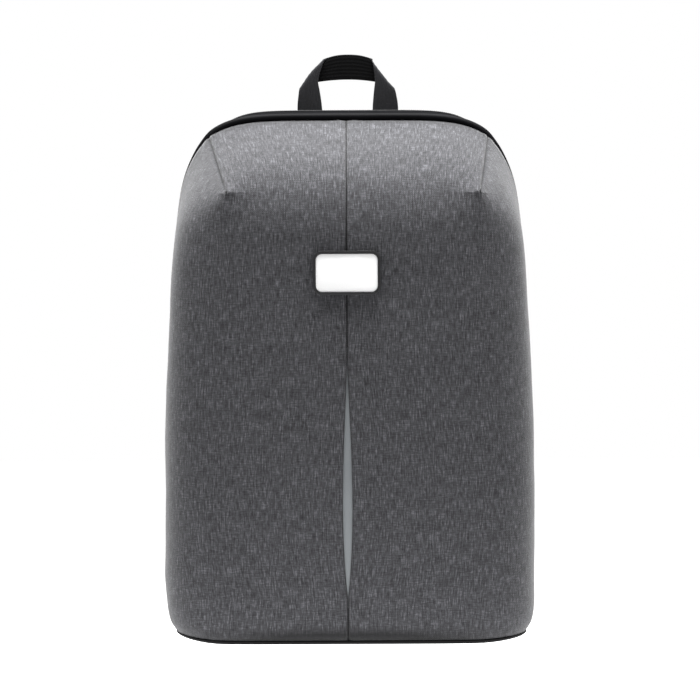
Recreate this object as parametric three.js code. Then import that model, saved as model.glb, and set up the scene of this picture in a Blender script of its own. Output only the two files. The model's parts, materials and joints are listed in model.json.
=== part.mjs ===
// An anti theft backpack that stands on its base, in millimetres.
// Origin at the centre of the flat underside, +X to the right as seen from the front,
// -Y towards the viewer, +Z up.

import * as THREE from 'three';
import { mergeVertices } from 'three/addons/utils/BufferGeometryUtils.js';

// Driving dimensions of the bag
const bodyHeight = 440;
const bodyWidth = 304;
const bodyDepth = 140;
const backSetback = 45;
const wall = 2.5;
const clearance = 0.3;
const seamGap = 0.3;

// Front form: squareness of the level sections, the brow and its two darts
const squareness = 4.6;
const cornerLineX = 107;
const browHeight = 367;
const browSoftness = 37;
const browRecess = 8.5;
const browSpread = 7;
const dartTipLeft = 99.6;
const dartTipRight = 107.6;
const dartTopX = 115.5;
const dartTopHeight = 413.8;
const archHeight = 427.3;
const archCurl = 6;
const seamX = -1.8;
const slopeFlatness = THREE.MathUtils.degToRad(32);

// Opened pleat and its reflective insert
const pleatBottom = 38.5;
const pleatTop = 232;
const pleatWidth = 7.5;
const pleatPeak = 0.39;
const pleatFall = 1.5;
const stripThickness = 1;
const stripMargin = 9;

// Base
const baseThickness = 3;
const baseChamfer = 2;
const baseMargin = 0.8;
const baseCornerRadius = 12;

// Badge
const badgeHeight = 301;
const badgeWidth = 55;
const badgeTall = 35.6;
const badgeBorder = 2;
const badgeCorner = 7.5;
const badgeFrameDepth = 4.2;
const badgePlateDepth = 3.4;

// Edge piping, zip band and back panel
const pipingDiameter = 6;
const pipingSink = 3.1;
const crownSharpness = 8;
const bandWall = 2;
const bandSideRise = -3;
const bandTopRise = 9.2;
const bandBackDrop = 3;
const coilWidth = 6.5;
const coilHeight = 1.5;
const coilEndHeight = 70;
const panelThickness = 12;
const panelEdgeRound = 4;
const sliderLength = 14;
const sliderWidth = 9;
const sliderHeight = 2.4;
const sliderUpperHeight = 252;
const sliderLowerHeight = 222;
const pullerLength = 20;
const pullerWidth = 5;
const pullerThickness = 1.4;

// Folded webbing handle
const webWidth = 20;
const webThickness = 1.8;
const handleHalfSpan = 41.7;
const handleFoldHeight = 452.2;
const handleFoldRadius = 1.4;
const handleFoldLead = 4;
const handleLift = THREE.MathUtils.degToRad(12);
const handleLegFoot = 404;

// Yoke on the back panel
const yokeWidth = 150;
const yokeTop = 424;
const yokeBottom = 380;
const yokeThickness = 3;

// Shoulder straps, their adjusters, webbing and lower anchors
const strapWidth = 62;
const strapLowerWidth = 40;
const strapThickness = 11;
const strapTopX = 40;
const strapLowInset = 60;
const strapTopHeight = 378;
const strapLowHeight = 112;
const strapBow = 34;
const lowerWebWidth = 25;
const lowerWebThickness = 1.6;
const webTail = 46;
const tabLength = 14;
const adjusterWidth = 34;
const adjusterTall = 26;
const adjusterDepth = 4;
const adjusterBar = 4;
const adjusterRound = 3;
const anchorInset = 40;
const anchorHeight = 34;
const anchorWidth = 36;
const anchorTall = 30;
const anchorThickness = 3;

// Level sections from the base to the shoulder: shares of bodyHeight, of half of bodyWidth and of the
// reach of the front ahead of the back edge of the shell
const sections = [
  { height: 0.0075, halfWidth: 0.9550, reach: 0.905 },
  { height: 0.0145, halfWidth: 0.9660, reach: 0.930 },
  { height: 0.0250, halfWidth: 0.9800, reach: 0.950 },
  { height: 0.0410, halfWidth: 0.9900, reach: 0.968 },
  { height: 0.0640, halfWidth: 0.9970, reach: 0.982 },
  { height: 0.1050, halfWidth: 1.0000, reach: 0.996 },
  { height: 0.1700, halfWidth: 1.0000, reach: 1.000 },
  { height: 0.2600, halfWidth: 1.0000, reach: 0.990 },
  { height: 0.3600, halfWidth: 0.9990, reach: 0.970 },
  { height: 0.4600, halfWidth: 0.9905, reach: 0.946 },
  { height: 0.5700, halfWidth: 0.9780, reach: 0.916 },
  { height: 0.6700, halfWidth: 0.9645, reach: 0.886 },
  { height: 0.7600, halfWidth: 0.9430, reach: 0.866 },
  { height: 0.8200, halfWidth: 0.9220, reach: 0.860 },
  { height: 0.8500, halfWidth: 0.9050, reach: 0.860 },
  { height: 0.8800, halfWidth: 0.8760, reach: 0.860 },
  { height: 0.9100, halfWidth: 0.8320, reach: 0.860 },
  { height: 0.9300, halfWidth: 0.7890, reach: 0.860 },
  { height: 0.9405, halfWidth: 0.7600, reach: 0.860 },
];

// Rows of the front and side panels between the base and the brow, as shares of browHeight
const panelRows = [
  0.009, 0.018, 0.03, 0.048, 0.075, 0.112, 0.16, 0.22, 0.28, 0.34, 0.4, 0.46, 0.52, 0.58,
  0.632, 0.7, 0.77, 0.83, 0.88, 0.92, 0.96, 1,
];
const blendRow = 17;
const frontColumns = 7;
const sideColumns = 9;
const sideCrowding = 1.6;
const touching = 1e-3;

const edgeY = bodyDepth / 2 - backSetback;
const frontReach = bodyDepth - backSetback;
const halfWidth = bodyWidth / 2;
const panelFrontY = bodyDepth / 2 - panelThickness;
const bandFrontY = edgeY + clearance + pipingDiameter + clearance;
const bandBackY = panelFrontY - clearance;
const floorOfShell = baseThickness + clearance;
const anchorX = halfWidth - anchorInset;
const strapLowX = halfWidth - strapLowInset;
const blendHeight = panelRows[blendRow] * browHeight;

// Section of the zip band from the welt to the back panel: shares of its width, rise and back drop, flat
// under the zip
const bandTopDrop = 0.3;
const bandSection = [
  { along: 0, rise: 0.25, drop: 0 },
  { along: 0.2, rise: 0.8, drop: 0.1 },
  { along: 0.36, rise: 1, drop: bandTopDrop },
  { along: 0.64, rise: 1, drop: bandTopDrop },
  { along: 0.82, rise: 0.6, drop: 0.6 },
  { along: 1, rise: 0, drop: 1 },
];

// Smooth value of one column of the section table at a height
function sectionValue(column, z) {
  const share = z / bodyHeight;
  const last = sections.length - 1;
  let k = sections.findIndex((row) => row.height > share) - 1;
  if (k === -2) k = last - 1;
  k = Math.max(k, 0);
  const before = sections[Math.max(k - 1, 0)];
  const low = sections[k];
  const high = sections[k + 1];
  const after = sections[Math.min(k + 2, last)];
  const span = high.height - low.height;
  const t = THREE.MathUtils.clamp((share - low.height) / span, 0, 1);
  const slopeLow = ((high[column] - before[column]) / (high.height - before.height)) * span;
  const slopeHigh = ((after[column] - low[column]) / (after.height - low.height)) * span;
  const t2 = t * t;
  const t3 = t2 * t;
  return (
    (2 * t3 - 3 * t2 + 1) * low[column] + (t3 - 2 * t2 + t) * slopeLow +
    (3 * t2 - 2 * t3) * high[column] + (t3 - t2) * slopeHigh
  );
}

// Half width of the back edge at a height; near the top it runs out to the head of the dart
function halfWidthAt(z) {
  const free = halfWidth * sectionValue('halfWidth', z);
  const climb = THREE.MathUtils.clamp((z - blendHeight) / (dartTopHeight - blendHeight), 0, 1);
  const miss = dartTopX - halfWidth * sectionValue('halfWidth', dartTopHeight);
  return free + miss * climb * climb * climb;
}

function reachAt(z) {
  return frontReach * sectionValue('reach', z);
}

// Half width of the opened pleat at a height
function pleatHalfWidth(z) {
  const t = (z - pleatBottom) / (pleatTop - pleatBottom);
  if (t <= 0 || t >= 1) return 0;
  const rise = (pleatFall * pleatPeak) / (1 - pleatPeak);
  const shape = Math.pow(t / pleatPeak, rise) * Math.pow((1 - t) / (1 - pleatPeak), pleatFall);
  return (pleatWidth / 2) * shape;
}

// How soft the brow is at a share of the way from the seam to the dart: 1 at the seam, 0 at the dart
function browEase(across) {
  return 1 - Math.pow(Math.min(Math.abs(across), 1), browSpread);
}

// Where the seam edge of a half lies, measured across its own side: side is 1 at right and -1 at left
function seamEdge(side) {
  return seamGap / 2 + side * seamX;
}

// The form of one half of the shell, drawn on the right for both sides
function halfForm(side) {
  const dartTip = side > 0 ? dartTipRight : dartTipLeft;
  const cornerXAt = (z) => {
    const t = THREE.MathUtils.clamp(z / browHeight, 0, 1);
    return THREE.MathUtils.lerp(cornerLineX, dartTip, t * t);
  };
  const sectionY = (x, z) => {
    const share = Math.min(Math.abs(x) / halfWidthAt(z), 1);
    return edgeY - reachAt(z) * Math.pow(1 - Math.pow(share, squareness), 1 / squareness);
  };
  const frontPoint = (x, z) => {
    const near = THREE.MathUtils.clamp((z - browHeight + browSoftness) / browSoftness, 0, 1);
    const recess = browRecess * near * near * browEase(x / cornerXAt(z));
    return new THREE.Vector3(x, sectionY(x, z) + recess, z);
  };
  const tip = frontPoint(dartTip, browHeight);
  const top = new THREE.Vector3(dartTopX, edgeY, dartTopHeight);
  const dartPoint = (t) => tip.clone().lerp(top, t);
  const sidePoint = (c, z) => {
    const deep = edgeY - sectionY(cornerXAt(z), z);
    const y = edgeY - deep * (1 - Math.pow(c, sideCrowding));
    const share = (edgeY - y) / reachAt(z);
    const x = halfWidthAt(z) * Math.pow(1 - Math.pow(share, squareness), 1 / squareness);
    return new THREE.Vector3(x, y, z);
  };
  return { seam: seamEdge(side), cornerXAt, frontPoint, sidePoint, dartPoint };
}

// A point of the top of the back edge between the heads of the two darts
function archPoint(x) {
  const curl = Math.pow(Math.abs(x) / dartTopX, archCurl);
  return new THREE.Vector3(x, edgeY, THREE.MathUtils.lerp(archHeight, dartTopHeight, curl));
}

// Rows of points of the front panel from the seam to the corner line
function frontGrid(form) {
  return panelRows.map((share) => {
    const z = Math.max(share * browHeight, floorOfShell);
    const inner = form.seam + pleatHalfWidth(z);
    const outer = form.cornerXAt(z);
    const row = [];
    for (let i = 0; i <= frontColumns; i += 1) {
      const a = i / frontColumns;
      row.push(form.frontPoint(THREE.MathUtils.lerp(inner, outer, a), z));
    }
    return row;
  });
}

// Rows of points of the side panel from the corner line to the back edge; above the blend row they climb
// to the dart
function sideGrid(form) {
  return panelRows.map((share) => {
    const row = [];
    for (let i = 0; i <= sideColumns; i += 1) {
      const c = i / sideColumns;
      const dart = form.dartPoint(Math.pow(c, sideCrowding));
      const above = (share * browHeight - blendHeight) / (browHeight - blendHeight);
      if (above <= 0) {
        row.push(form.sidePoint(c, Math.max(share * browHeight, floorOfShell)));
        continue;
      }
      const z = THREE.MathUtils.lerp(blendHeight, dart.z, above);
      const miss = dart.clone().sub(form.sidePoint(c, dart.z));
      row.push(form.sidePoint(c, z).addScaledVector(miss, above * above * above));
    }
    return row;
  });
}

// Rows of points of the top slope from the brow back to the arch: it leaves the soft middle of the brow
// in the direction of the front and runs straight along the dart
function slopeGrid(form, brow, below) {
  const rows = [];
  for (let j = 0; j <= sideColumns; j += 1) {
    const b = Math.pow(j / sideColumns, sideCrowding);
    const b2 = b * b;
    const b3 = b2 * b;
    const row = [];
    for (let i = 0; i <= frontColumns; i += 1) {
      const a = i / frontColumns;
      const near = brow[i];
      const far = archPoint(THREE.MathUtils.lerp(form.seam, dartTopX, a));
      const chord = far.clone().sub(near);
      const length = chord.length();
      const leave = near.clone().sub(below[i]).setLength(length);
      const arrive = new THREE.Vector3(0, Math.cos(slopeFlatness), Math.sin(slopeFlatness));
      arrive.multiplyScalar(length);
      const ease = browEase(a);
      leave.lerpVectors(chord, leave, ease);
      arrive.lerpVectors(chord, arrive, ease);
      row.push(new THREE.Vector3()
        .addScaledVector(near, 2 * b3 - 3 * b2 + 1)
        .addScaledVector(leave, b3 - 2 * b2 + b)
        .addScaledVector(far, 3 * b2 - 2 * b3)
        .addScaledVector(arrive, b3 - b2));
    }
    rows.push(row);
  }
  return rows;
}

// Triangles of a grid of points
function gridTriangles(rows) {
  const triangles = [];
  for (let j = 0; j < rows.length - 1; j += 1) {
    for (let i = 0; i < rows[j].length - 1; i += 1) {
      const a = rows[j][i];
      const b = rows[j][i + 1];
      const c = rows[j + 1][i + 1];
      const d = rows[j + 1][i];
      triangles.push([a, b, c], [a, c, d]);
    }
  }
  return triangles;
}

// A geometry from triangles, with equal corners shared
function geometryOf(triangles) {
  const positions = [];
  for (const triangle of triangles) {
    for (const point of triangle) positions.push(point.x, point.y, point.z);
  }
  const loose = new THREE.BufferGeometry();
  loose.setAttribute('position', new THREE.Float32BufferAttribute(positions, 3));
  return mergeVertices(loose, touching);
}

// A wall of even thickness behind an open sheet of triangles; settle puts the inner edge points in place
function wallBehind(triangles, thickness, settle) {
  const sheet = geometryOf(triangles);
  sheet.computeVertexNormals();
  const place = sheet.attributes.position;
  const normal = sheet.attributes.normal;
  const outer = [];
  const inner = [];
  for (let k = 0; k < place.count; k += 1) {
    const point = new THREE.Vector3().fromBufferAttribute(place, k);
    const out = new THREE.Vector3().fromBufferAttribute(normal, k);
    outer.push(point);
    inner.push(settle(point, point.clone().addScaledVector(out, -thickness)));
  }
  const index = sheet.index.array;
  const faces = [];
  const borders = new Map();
  for (let k = 0; k < index.length; k += 3) {
    const corners = [index[k], index[k + 1], index[k + 2]];
    faces.push(corners.map((n) => outer[n]));
    faces.push([inner[corners[0]], inner[corners[2]], inner[corners[1]]]);
    for (let e = 0; e < 3; e += 1) {
      const from = corners[e];
      const to = corners[(e + 1) % 3];
      const back = `${to}_${from}`;
      if (borders.has(back)) borders.delete(back);
      else borders.set(`${from}_${to}`, [from, to]);
    }
  }
  for (const [from, to] of borders.values()) {
    faces.push([outer[to], outer[from], inner[from]], [outer[to], inner[from], inner[to]]);
  }
  return geometryOf(faces);
}

// A solid through closed rings of equal count; shape gives each end ring as a flat outline for its cap
function loftRings(rings, shape) {
  const faces = [];
  for (let j = 0; j < rings.length - 1; j += 1) {
    const low = rings[j];
    const high = rings[j + 1];
    for (let i = 0; i < low.length; i += 1) {
      const n = (i + 1) % low.length;
      faces.push([low[i], low[n], high[n]], [low[i], high[n], high[i]]);
    }
  }
  const cap = THREE.ShapeUtils.triangulateShape(shape, []);
  const clockwise = THREE.ShapeUtils.area(shape) < 0;
  const last = rings[rings.length - 1];
  for (const corners of cap) {
    const [a, b, c] = clockwise ? [corners[0], corners[2], corners[1]] : corners;
    faces.push([rings[0][a], rings[0][c], rings[0][b]]);
    faces.push([last[a], last[b], last[c]]);
  }
  const solid = geometryOf(faces);
  return signedVolume(solid) < 0 ? turnedInsideOut(solid) : solid;
}

function signedVolume(geometry) {
  const place = geometry.attributes.position;
  const index = geometry.index.array;
  const corner = (k) => new THREE.Vector3().fromBufferAttribute(place, index[k]);
  let volume = 0;
  for (let k = 0; k < index.length; k += 3) {
    volume += corner(k).dot(corner(k + 1).cross(corner(k + 2))) / 6;
  }
  return volume;
}

function turnedInsideOut(geometry) {
  const index = Array.from(geometry.index.array);
  for (let k = 0; k < index.length; k += 3) {
    [index[k + 1], index[k + 2]] = [index[k + 2], index[k + 1]];
  }
  geometry.setIndex(index);
  return geometry;
}

// One half of the shell: front, side and top slope as one sewn wall
function shellHalf(side) {
  const form = halfForm(side);
  const front = frontGrid(form);
  const flank = sideGrid(form);
  const slope = slopeGrid(form, front[front.length - 1], front[front.length - 2]);
  const triangles = [front, flank, slope].flatMap(gridTriangles);
  const settle = (outer, inner) => {
    if (isSeamPoint(form, outer)) inner.x = outer.x;
    if (outer.y > edgeY - touching) inner.y = edgeY;
    if (outer.z < floorOfShell + touching) inner.z = outer.z;
    return inner;
  };
  const solid = wallBehind(triangles, wall, settle);
  if (side > 0) return solid;
  solid.scale(-1, 1, 1);
  return turnedInsideOut(solid);
}

// Whether a point of a half lies on the centre seam or on the edge of the pleat
function isSeamPoint(form, point) {
  return Math.abs(point.x - form.seam - pleatHalfWidth(point.z)) < touching;
}

// The insert behind the opened pleat, seated on the inner face of the shell
function reflectiveStrip() {
  const form = halfForm(1);
  const low = pleatBottom - stripMargin;
  const high = pleatTop + stripMargin;
  const heights = panelRows.map((share) => share * browHeight).filter((z) => z > low && z < high);
  const reach = pleatWidth / 2 + stripMargin;
  const step = stripThickness;
  const rings = [low, ...heights, high].map((z) => {
    const centre = form.frontPoint(seamX, z);
    const above = form.frontPoint(seamX, z + step);
    const tangent = above.sub(form.frontPoint(seamX, z - step)).normalize();
    const inward = new THREE.Vector3(0, tangent.z, -tangent.y);
    const near = centre.clone().addScaledVector(inward, wall + clearance);
    const far = near.clone().addScaledVector(inward, stripThickness);
    return [
      new THREE.Vector3(seamX - reach, near.y, near.z),
      new THREE.Vector3(seamX + reach, near.y, near.z),
      new THREE.Vector3(seamX + reach, far.y, far.z),
      new THREE.Vector3(seamX - reach, far.y, far.z),
    ];
  });
  const shape = [[0, 0], [1, 0], [1, 1], [0, 1]].map(([x, y]) => new THREE.Vector2(x, y));
  return loftRings(rings, shape);
}

// The outline of the back edge seen from the front, from the base up the right side and over to the left
function backOutline() {
  const right = [];
  for (const share of panelRows) {
    const z = Math.max(share * browHeight, floorOfShell);
    right.push(new THREE.Vector2(halfWidthAt(z), z));
  }
  const shoulderSteps = 4;
  for (let k = 1; k < shoulderSteps; k += 1) {
    const z = THREE.MathUtils.lerp(browHeight, dartTopHeight, k / shoulderSteps);
    right.push(new THREE.Vector2(halfWidthAt(z), z));
  }
  const archSteps = 7;
  for (let k = archSteps; k > 0; k -= 1) {
    const point = archPoint((dartTopX * k) / archSteps);
    right.push(new THREE.Vector2(point.x, point.z));
  }
  const crown = new THREE.Vector2(0, archHeight);
  const left = right.map((point) => new THREE.Vector2(-point.x, point.y)).reverse();
  return [...right, crown, ...left];
}

// Points of the outline with their outward normals, smoothed over the neighbours
function outlineFrames() {
  const points = backOutline();
  return points.map((point, k) => {
    const before = points[Math.max(k - 1, 0)];
    const after = points[Math.min(k + 1, points.length - 1)];
    const along = after.clone().sub(before).normalize();
    const normal = new THREE.Vector2(along.y, -along.x);
    if (k === 0 || k === points.length - 1) normal.set(Math.sign(point.x), 0);
    return { point, normal };
  });
}

// How far the zip band stands above the back edge of the shell at a frame of the outline
function bandRise(frame) {
  const crown = Math.pow(Math.max(frame.normal.y, 0), crownSharpness);
  return THREE.MathUtils.lerp(bandSideRise, bandTopRise, crown);
}

function onOutline(frame, out, y) {
  const place = frame.point.clone().addScaledVector(frame.normal, out);
  return new THREE.Vector3(place.x, y, place.y);
}

// The welt along the back edge
function edgePiping() {
  const y = edgeY + clearance + pipingDiameter / 2;
  const foot = floorOfShell + pipingDiameter / 2;
  const points = outlineFrames().filter((frame) => frame.point.y > foot).map((frame) => {
    const crown = Math.pow(Math.max(frame.normal.y, 0), 2);
    const out = THREE.MathUtils.lerp(-pipingSink, pipingDiameter / 2, crown);
    return onOutline(frame, out, y);
  });
  const path = new THREE.CatmullRomCurve3(points, false, 'centripetal');
  const rim = new THREE.Shape();
  rim.absarc(0, 0, pipingDiameter / 2, 0, Math.PI * 2, false);
  const options = { steps: 96, curveSegments: 4, bevelEnabled: false, extrudePath: path };
  return sewnClosed(new THREE.ExtrudeGeometry(rim, options));
}

// An extruded geometry with its shared corners joined, so that it is one closed body
function sewnClosed(geometry) {
  geometry.deleteAttribute('normal');
  geometry.deleteAttribute('uv');
  return mergeVertices(geometry, touching);
}

// The band between the welt and the back panel, a bowed wall that carries the zip
function zipGusset() {
  const rings = outlineFrames().map((frame) => {
    const rise = bandRise(frame);
    const at = (row, inward) => onOutline(
      frame,
      rise * row.rise - bandBackDrop * row.drop - inward,
      THREE.MathUtils.lerp(bandFrontY, bandBackY, row.along),
    );
    const outside = bandSection.map((row) => at(row, 0));
    const inside = bandSection.map((row) => at(row, bandWall)).reverse();
    return [...outside, ...inside];
  });
  const flat = (row, inward) => new THREE.Vector2(row.along, row.rise - inward);
  const shape = [
    ...bandSection.map((row) => flat(row, 0)),
    ...bandSection.map((row) => flat(row, 1)).reverse(),
  ];
  return loftRings(rings, shape);
}

const coilY = THREE.MathUtils.lerp(bandFrontY, bandBackY, 0.5);

// Where the top face of the band lies under the zip at a frame of the outline
function coilSeat(frame) {
  return bandRise(frame) - bandBackDrop * bandTopDrop + clearance;
}

// The zip chain on the crown of the band
function zipCoil() {
  const frames = outlineFrames().filter((frame) => frame.point.y > coilEndHeight);
  const rings = frames.map((frame) => {
    const seat = coilSeat(frame);
    return [
      onOutline(frame, seat, coilY + coilWidth / 2),
      onOutline(frame, seat, coilY - coilWidth / 2),
      onOutline(frame, seat + coilHeight, coilY - coilWidth / 4),
      onOutline(frame, seat + coilHeight, coilY + coilWidth / 4),
    ];
  });
  const shape = [[2, 0], [-2, 0], [-1, 1], [1, 1]].map(([x, y]) => new THREE.Vector2(x, y));
  return loftRings(rings, shape);
}

// Frame of the outline on the left side at a height
function leftFrameAt(height) {
  const frames = outlineFrames().filter((frame) => frame.point.x < 0);
  const k = frames.findIndex((frame) => frame.point.y < height);
  const upper = frames[k - 1];
  const lower = frames[k];
  const t = (upper.point.y - height) / (upper.point.y - lower.point.y);
  const along = lower.point.clone().sub(upper.point).normalize();
  return { point: upper.point.clone().lerp(lower.point, t), normal: new THREE.Vector2(along.y, -along.x) };
}

// A slider with its plain pull on the left side of the band; hang is 1 for a pull that points down
function zipSlider(height, hang) {
  const frame = leftFrameAt(height);
  const seat = coilSeat(frame) + coilHeight + clearance;
  const across = sliderWidth / 2;
  const half = sliderLength / 2;
  const pull = half + pullerLength;
  const outline = new THREE.Shape();
  outline.moveTo(-across, -half * hang);
  outline.lineTo(across, -half * hang);
  outline.lineTo(across, half * hang);
  outline.lineTo(pullerWidth / 2, half * hang);
  outline.lineTo(pullerWidth / 2, pull * hang);
  outline.lineTo(-pullerWidth / 2, pull * hang);
  outline.lineTo(-pullerWidth / 2, half * hang);
  outline.lineTo(-across, half * hang);
  const depth = (sliderHeight + pullerThickness) / 2;
  const solid = sewnClosed(new THREE.ExtrudeGeometry(outline, { depth, bevelEnabled: false }));
  const out = new THREE.Vector3(frame.normal.x, 0, frame.normal.y);
  const rear = new THREE.Vector3(0, 1, 0);
  const down = new THREE.Vector3().crossVectors(out, rear);
  if (down.z > 0) down.negate();
  const turn = new THREE.Matrix4().makeBasis(rear, down, out);
  turn.setPosition(onOutline(frame, seat, coilY));
  solid.applyMatrix4(turn);
  return signedVolume(solid) < 0 ? turnedInsideOut(solid) : solid;
}

// Rounded edge of the padded back: shares of its thickness and of its edge round
const panelSection = [
  { along: 0, inset: 1 },
  { along: 0.3, inset: 0.25 },
  { along: 0.6, inset: 0 },
  { along: 0.85, inset: 0.4 },
  { along: 1, inset: 1.2 },
];

// The padded back, a slab with rounded edges inside the outline of the band
function backPanel() {
  const frames = outlineFrames();
  const rings = panelSection.map((row) => {
    const y = THREE.MathUtils.lerp(panelFrontY, bodyDepth / 2, row.along);
    return frames.map((frame) => {
      const crown = Math.max(bandRise(frame) - bandSideRise, 0) / 2;
      return onOutline(frame, crown - bandBackDrop - panelEdgeRound * row.inset, y);
    });
  });
  const shape = frames.map((frame) => frame.point);
  return loftRings(rings, shape);
}

// The flat bottom, from under the front to under the back panel
function basePanel() {
  const plan = [];
  const steps = 14;
  const z = floorOfShell;
  const wide = halfWidthAt(z) + baseMargin;
  const deep = reachAt(z) + baseMargin;
  for (let k = 0; k <= steps; k += 1) {
    const angle = -Math.PI / 2 + (k / steps) * (Math.PI / 2);
    const bend = 2 / squareness;
    plan.push(new THREE.Vector2(
      wide * Math.pow(Math.max(Math.cos(angle), 0), bend),
      edgeY - deep * Math.pow(Math.abs(Math.sin(angle)), bend),
    ));
  }
  const rearY = bodyDepth / 2 - panelEdgeRound;
  const cornerSteps = 4;
  for (let k = 0; k <= cornerSteps; k += 1) {
    const angle = (k / cornerSteps) * (Math.PI / 2);
    plan.push(new THREE.Vector2(
      wide - bandBackDrop - baseCornerRadius * (1 - Math.cos(angle)),
      rearY - baseCornerRadius * (1 - Math.sin(angle)),
    ));
  }
  const whole = [...plan, ...plan.slice(1).reverse().map((p) => new THREE.Vector2(-p.x, p.y))];
  const middle = new THREE.Vector2(0, (edgeY - deep + rearY) / 2);
  const levels = [
    { z: 0, inset: baseChamfer },
    { z: baseThickness / 2, inset: 0 },
    { z: baseThickness, inset: 0 },
  ];
  const rings = levels.map((level) => whole.map((point) => {
    const toMiddle = middle.clone().sub(point).normalize().multiplyScalar(level.inset);
    return new THREE.Vector3(point.x + toMiddle.x, point.y + toMiddle.y, level.z);
  }));
  return loftRings(rings, whole);
}

function roundedRectangle(width, height, radius, target = new THREE.Shape()) {
  const x = width / 2;
  const y = height / 2;
  const quarter = Math.PI / 2;
  target.moveTo(-x + radius, -y);
  target.lineTo(x - radius, -y);
  target.absarc(x - radius, -y + radius, radius, -quarter, 0, false);
  target.lineTo(x, y - radius);
  target.absarc(x - radius, y - radius, radius, 0, quarter, false);
  target.lineTo(-x + radius, y);
  target.absarc(-x + radius, y - radius, radius, quarter, 2 * quarter, false);
  target.lineTo(-x, -y + radius);
  target.absarc(-x + radius, -y + radius, radius, 2 * quarter, 3 * quarter, false);
  return target;
}

// Puts a flat piece drawn in the XY plane onto the front of the shell at the badge height
function seatOnFront(mesh) {
  const form = halfForm(1);
  const half = badgeTall / 2;
  const low = form.frontPoint(seamX, badgeHeight - half);
  const high = form.frontPoint(seamX, badgeHeight + half);
  const up = high.clone().sub(low).normalize();
  const out = new THREE.Vector3(0, -up.z, up.y);
  const centre = form.frontPoint(seamX, badgeHeight);
  const middle = low.clone().add(high).multiplyScalar(0.5);
  const proud = Math.max(centre.clone().sub(middle).dot(out), 0);
  const basis = new THREE.Matrix4().makeBasis(new THREE.Vector3(1, 0, 0), up, out);
  mesh.quaternion.setFromRotationMatrix(basis);
  mesh.position.copy(middle).addScaledVector(out, proud + clearance);
  return mesh;
}

function badgeFrame() {
  const outline = roundedRectangle(badgeWidth, badgeTall, badgeCorner);
  const inner = badgeCorner - badgeBorder;
  const hole = roundedRectangle(
    badgeWidth - 2 * badgeBorder, badgeTall - 2 * badgeBorder, inner, new THREE.Path());
  outline.holes.push(hole);
  const options = { depth: badgeFrameDepth, curveSegments: 6, bevelEnabled: false };
  return sewnClosed(new THREE.ExtrudeGeometry(outline, options));
}

function badgePlate() {
  const edge = badgeBorder + clearance;
  const outline = roundedRectangle(
    badgeWidth - 2 * edge, badgeTall - 2 * edge, badgeCorner - edge);
  const options = { depth: badgePlateDepth, curveSegments: 6, bevelEnabled: false };
  return sewnClosed(new THREE.ExtrudeGeometry(outline, options));
}

// A point of the flat webbing laid along its folded route: rise along the leg and x across it
function foldedWebPoint(rise, x, layer) {
  const lean = Math.PI / 4 + handleLift / 2;
  const fold = new THREE.Vector2(-Math.cos(lean), Math.sin(lean));
  const beyond = new THREE.Vector2(fold.y, -fold.x);
  const start = new THREE.Vector2(handleHalfSpan, handleFoldHeight);
  const flat = new THREE.Vector2(x, rise).sub(start);
  const past = flat.dot(beyond);
  const foot = start.clone().addScaledVector(fold, flat.dot(fold));
  const wrap = Math.PI * handleFoldRadius;
  let reach = past;
  let back = 0;
  let face = new THREE.Vector3(0, -1, 0);
  if (past > 0 && past < wrap) {
    const angle = past / handleFoldRadius;
    reach = handleFoldRadius * Math.sin(angle);
    back = handleFoldRadius * (1 - Math.cos(angle));
    const out = Math.sin(angle);
    face = new THREE.Vector3(beyond.x * out, -Math.cos(angle), beyond.y * out);
  } else if (past >= wrap) {
    reach = wrap - past;
    back = 2 * handleFoldRadius;
    face = new THREE.Vector3(0, 1, 0);
  }
  const place = foot.addScaledVector(beyond, reach);
  const point = new THREE.Vector3(place.x, back, place.y);
  return point.addScaledVector(face, layer);
}

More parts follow.
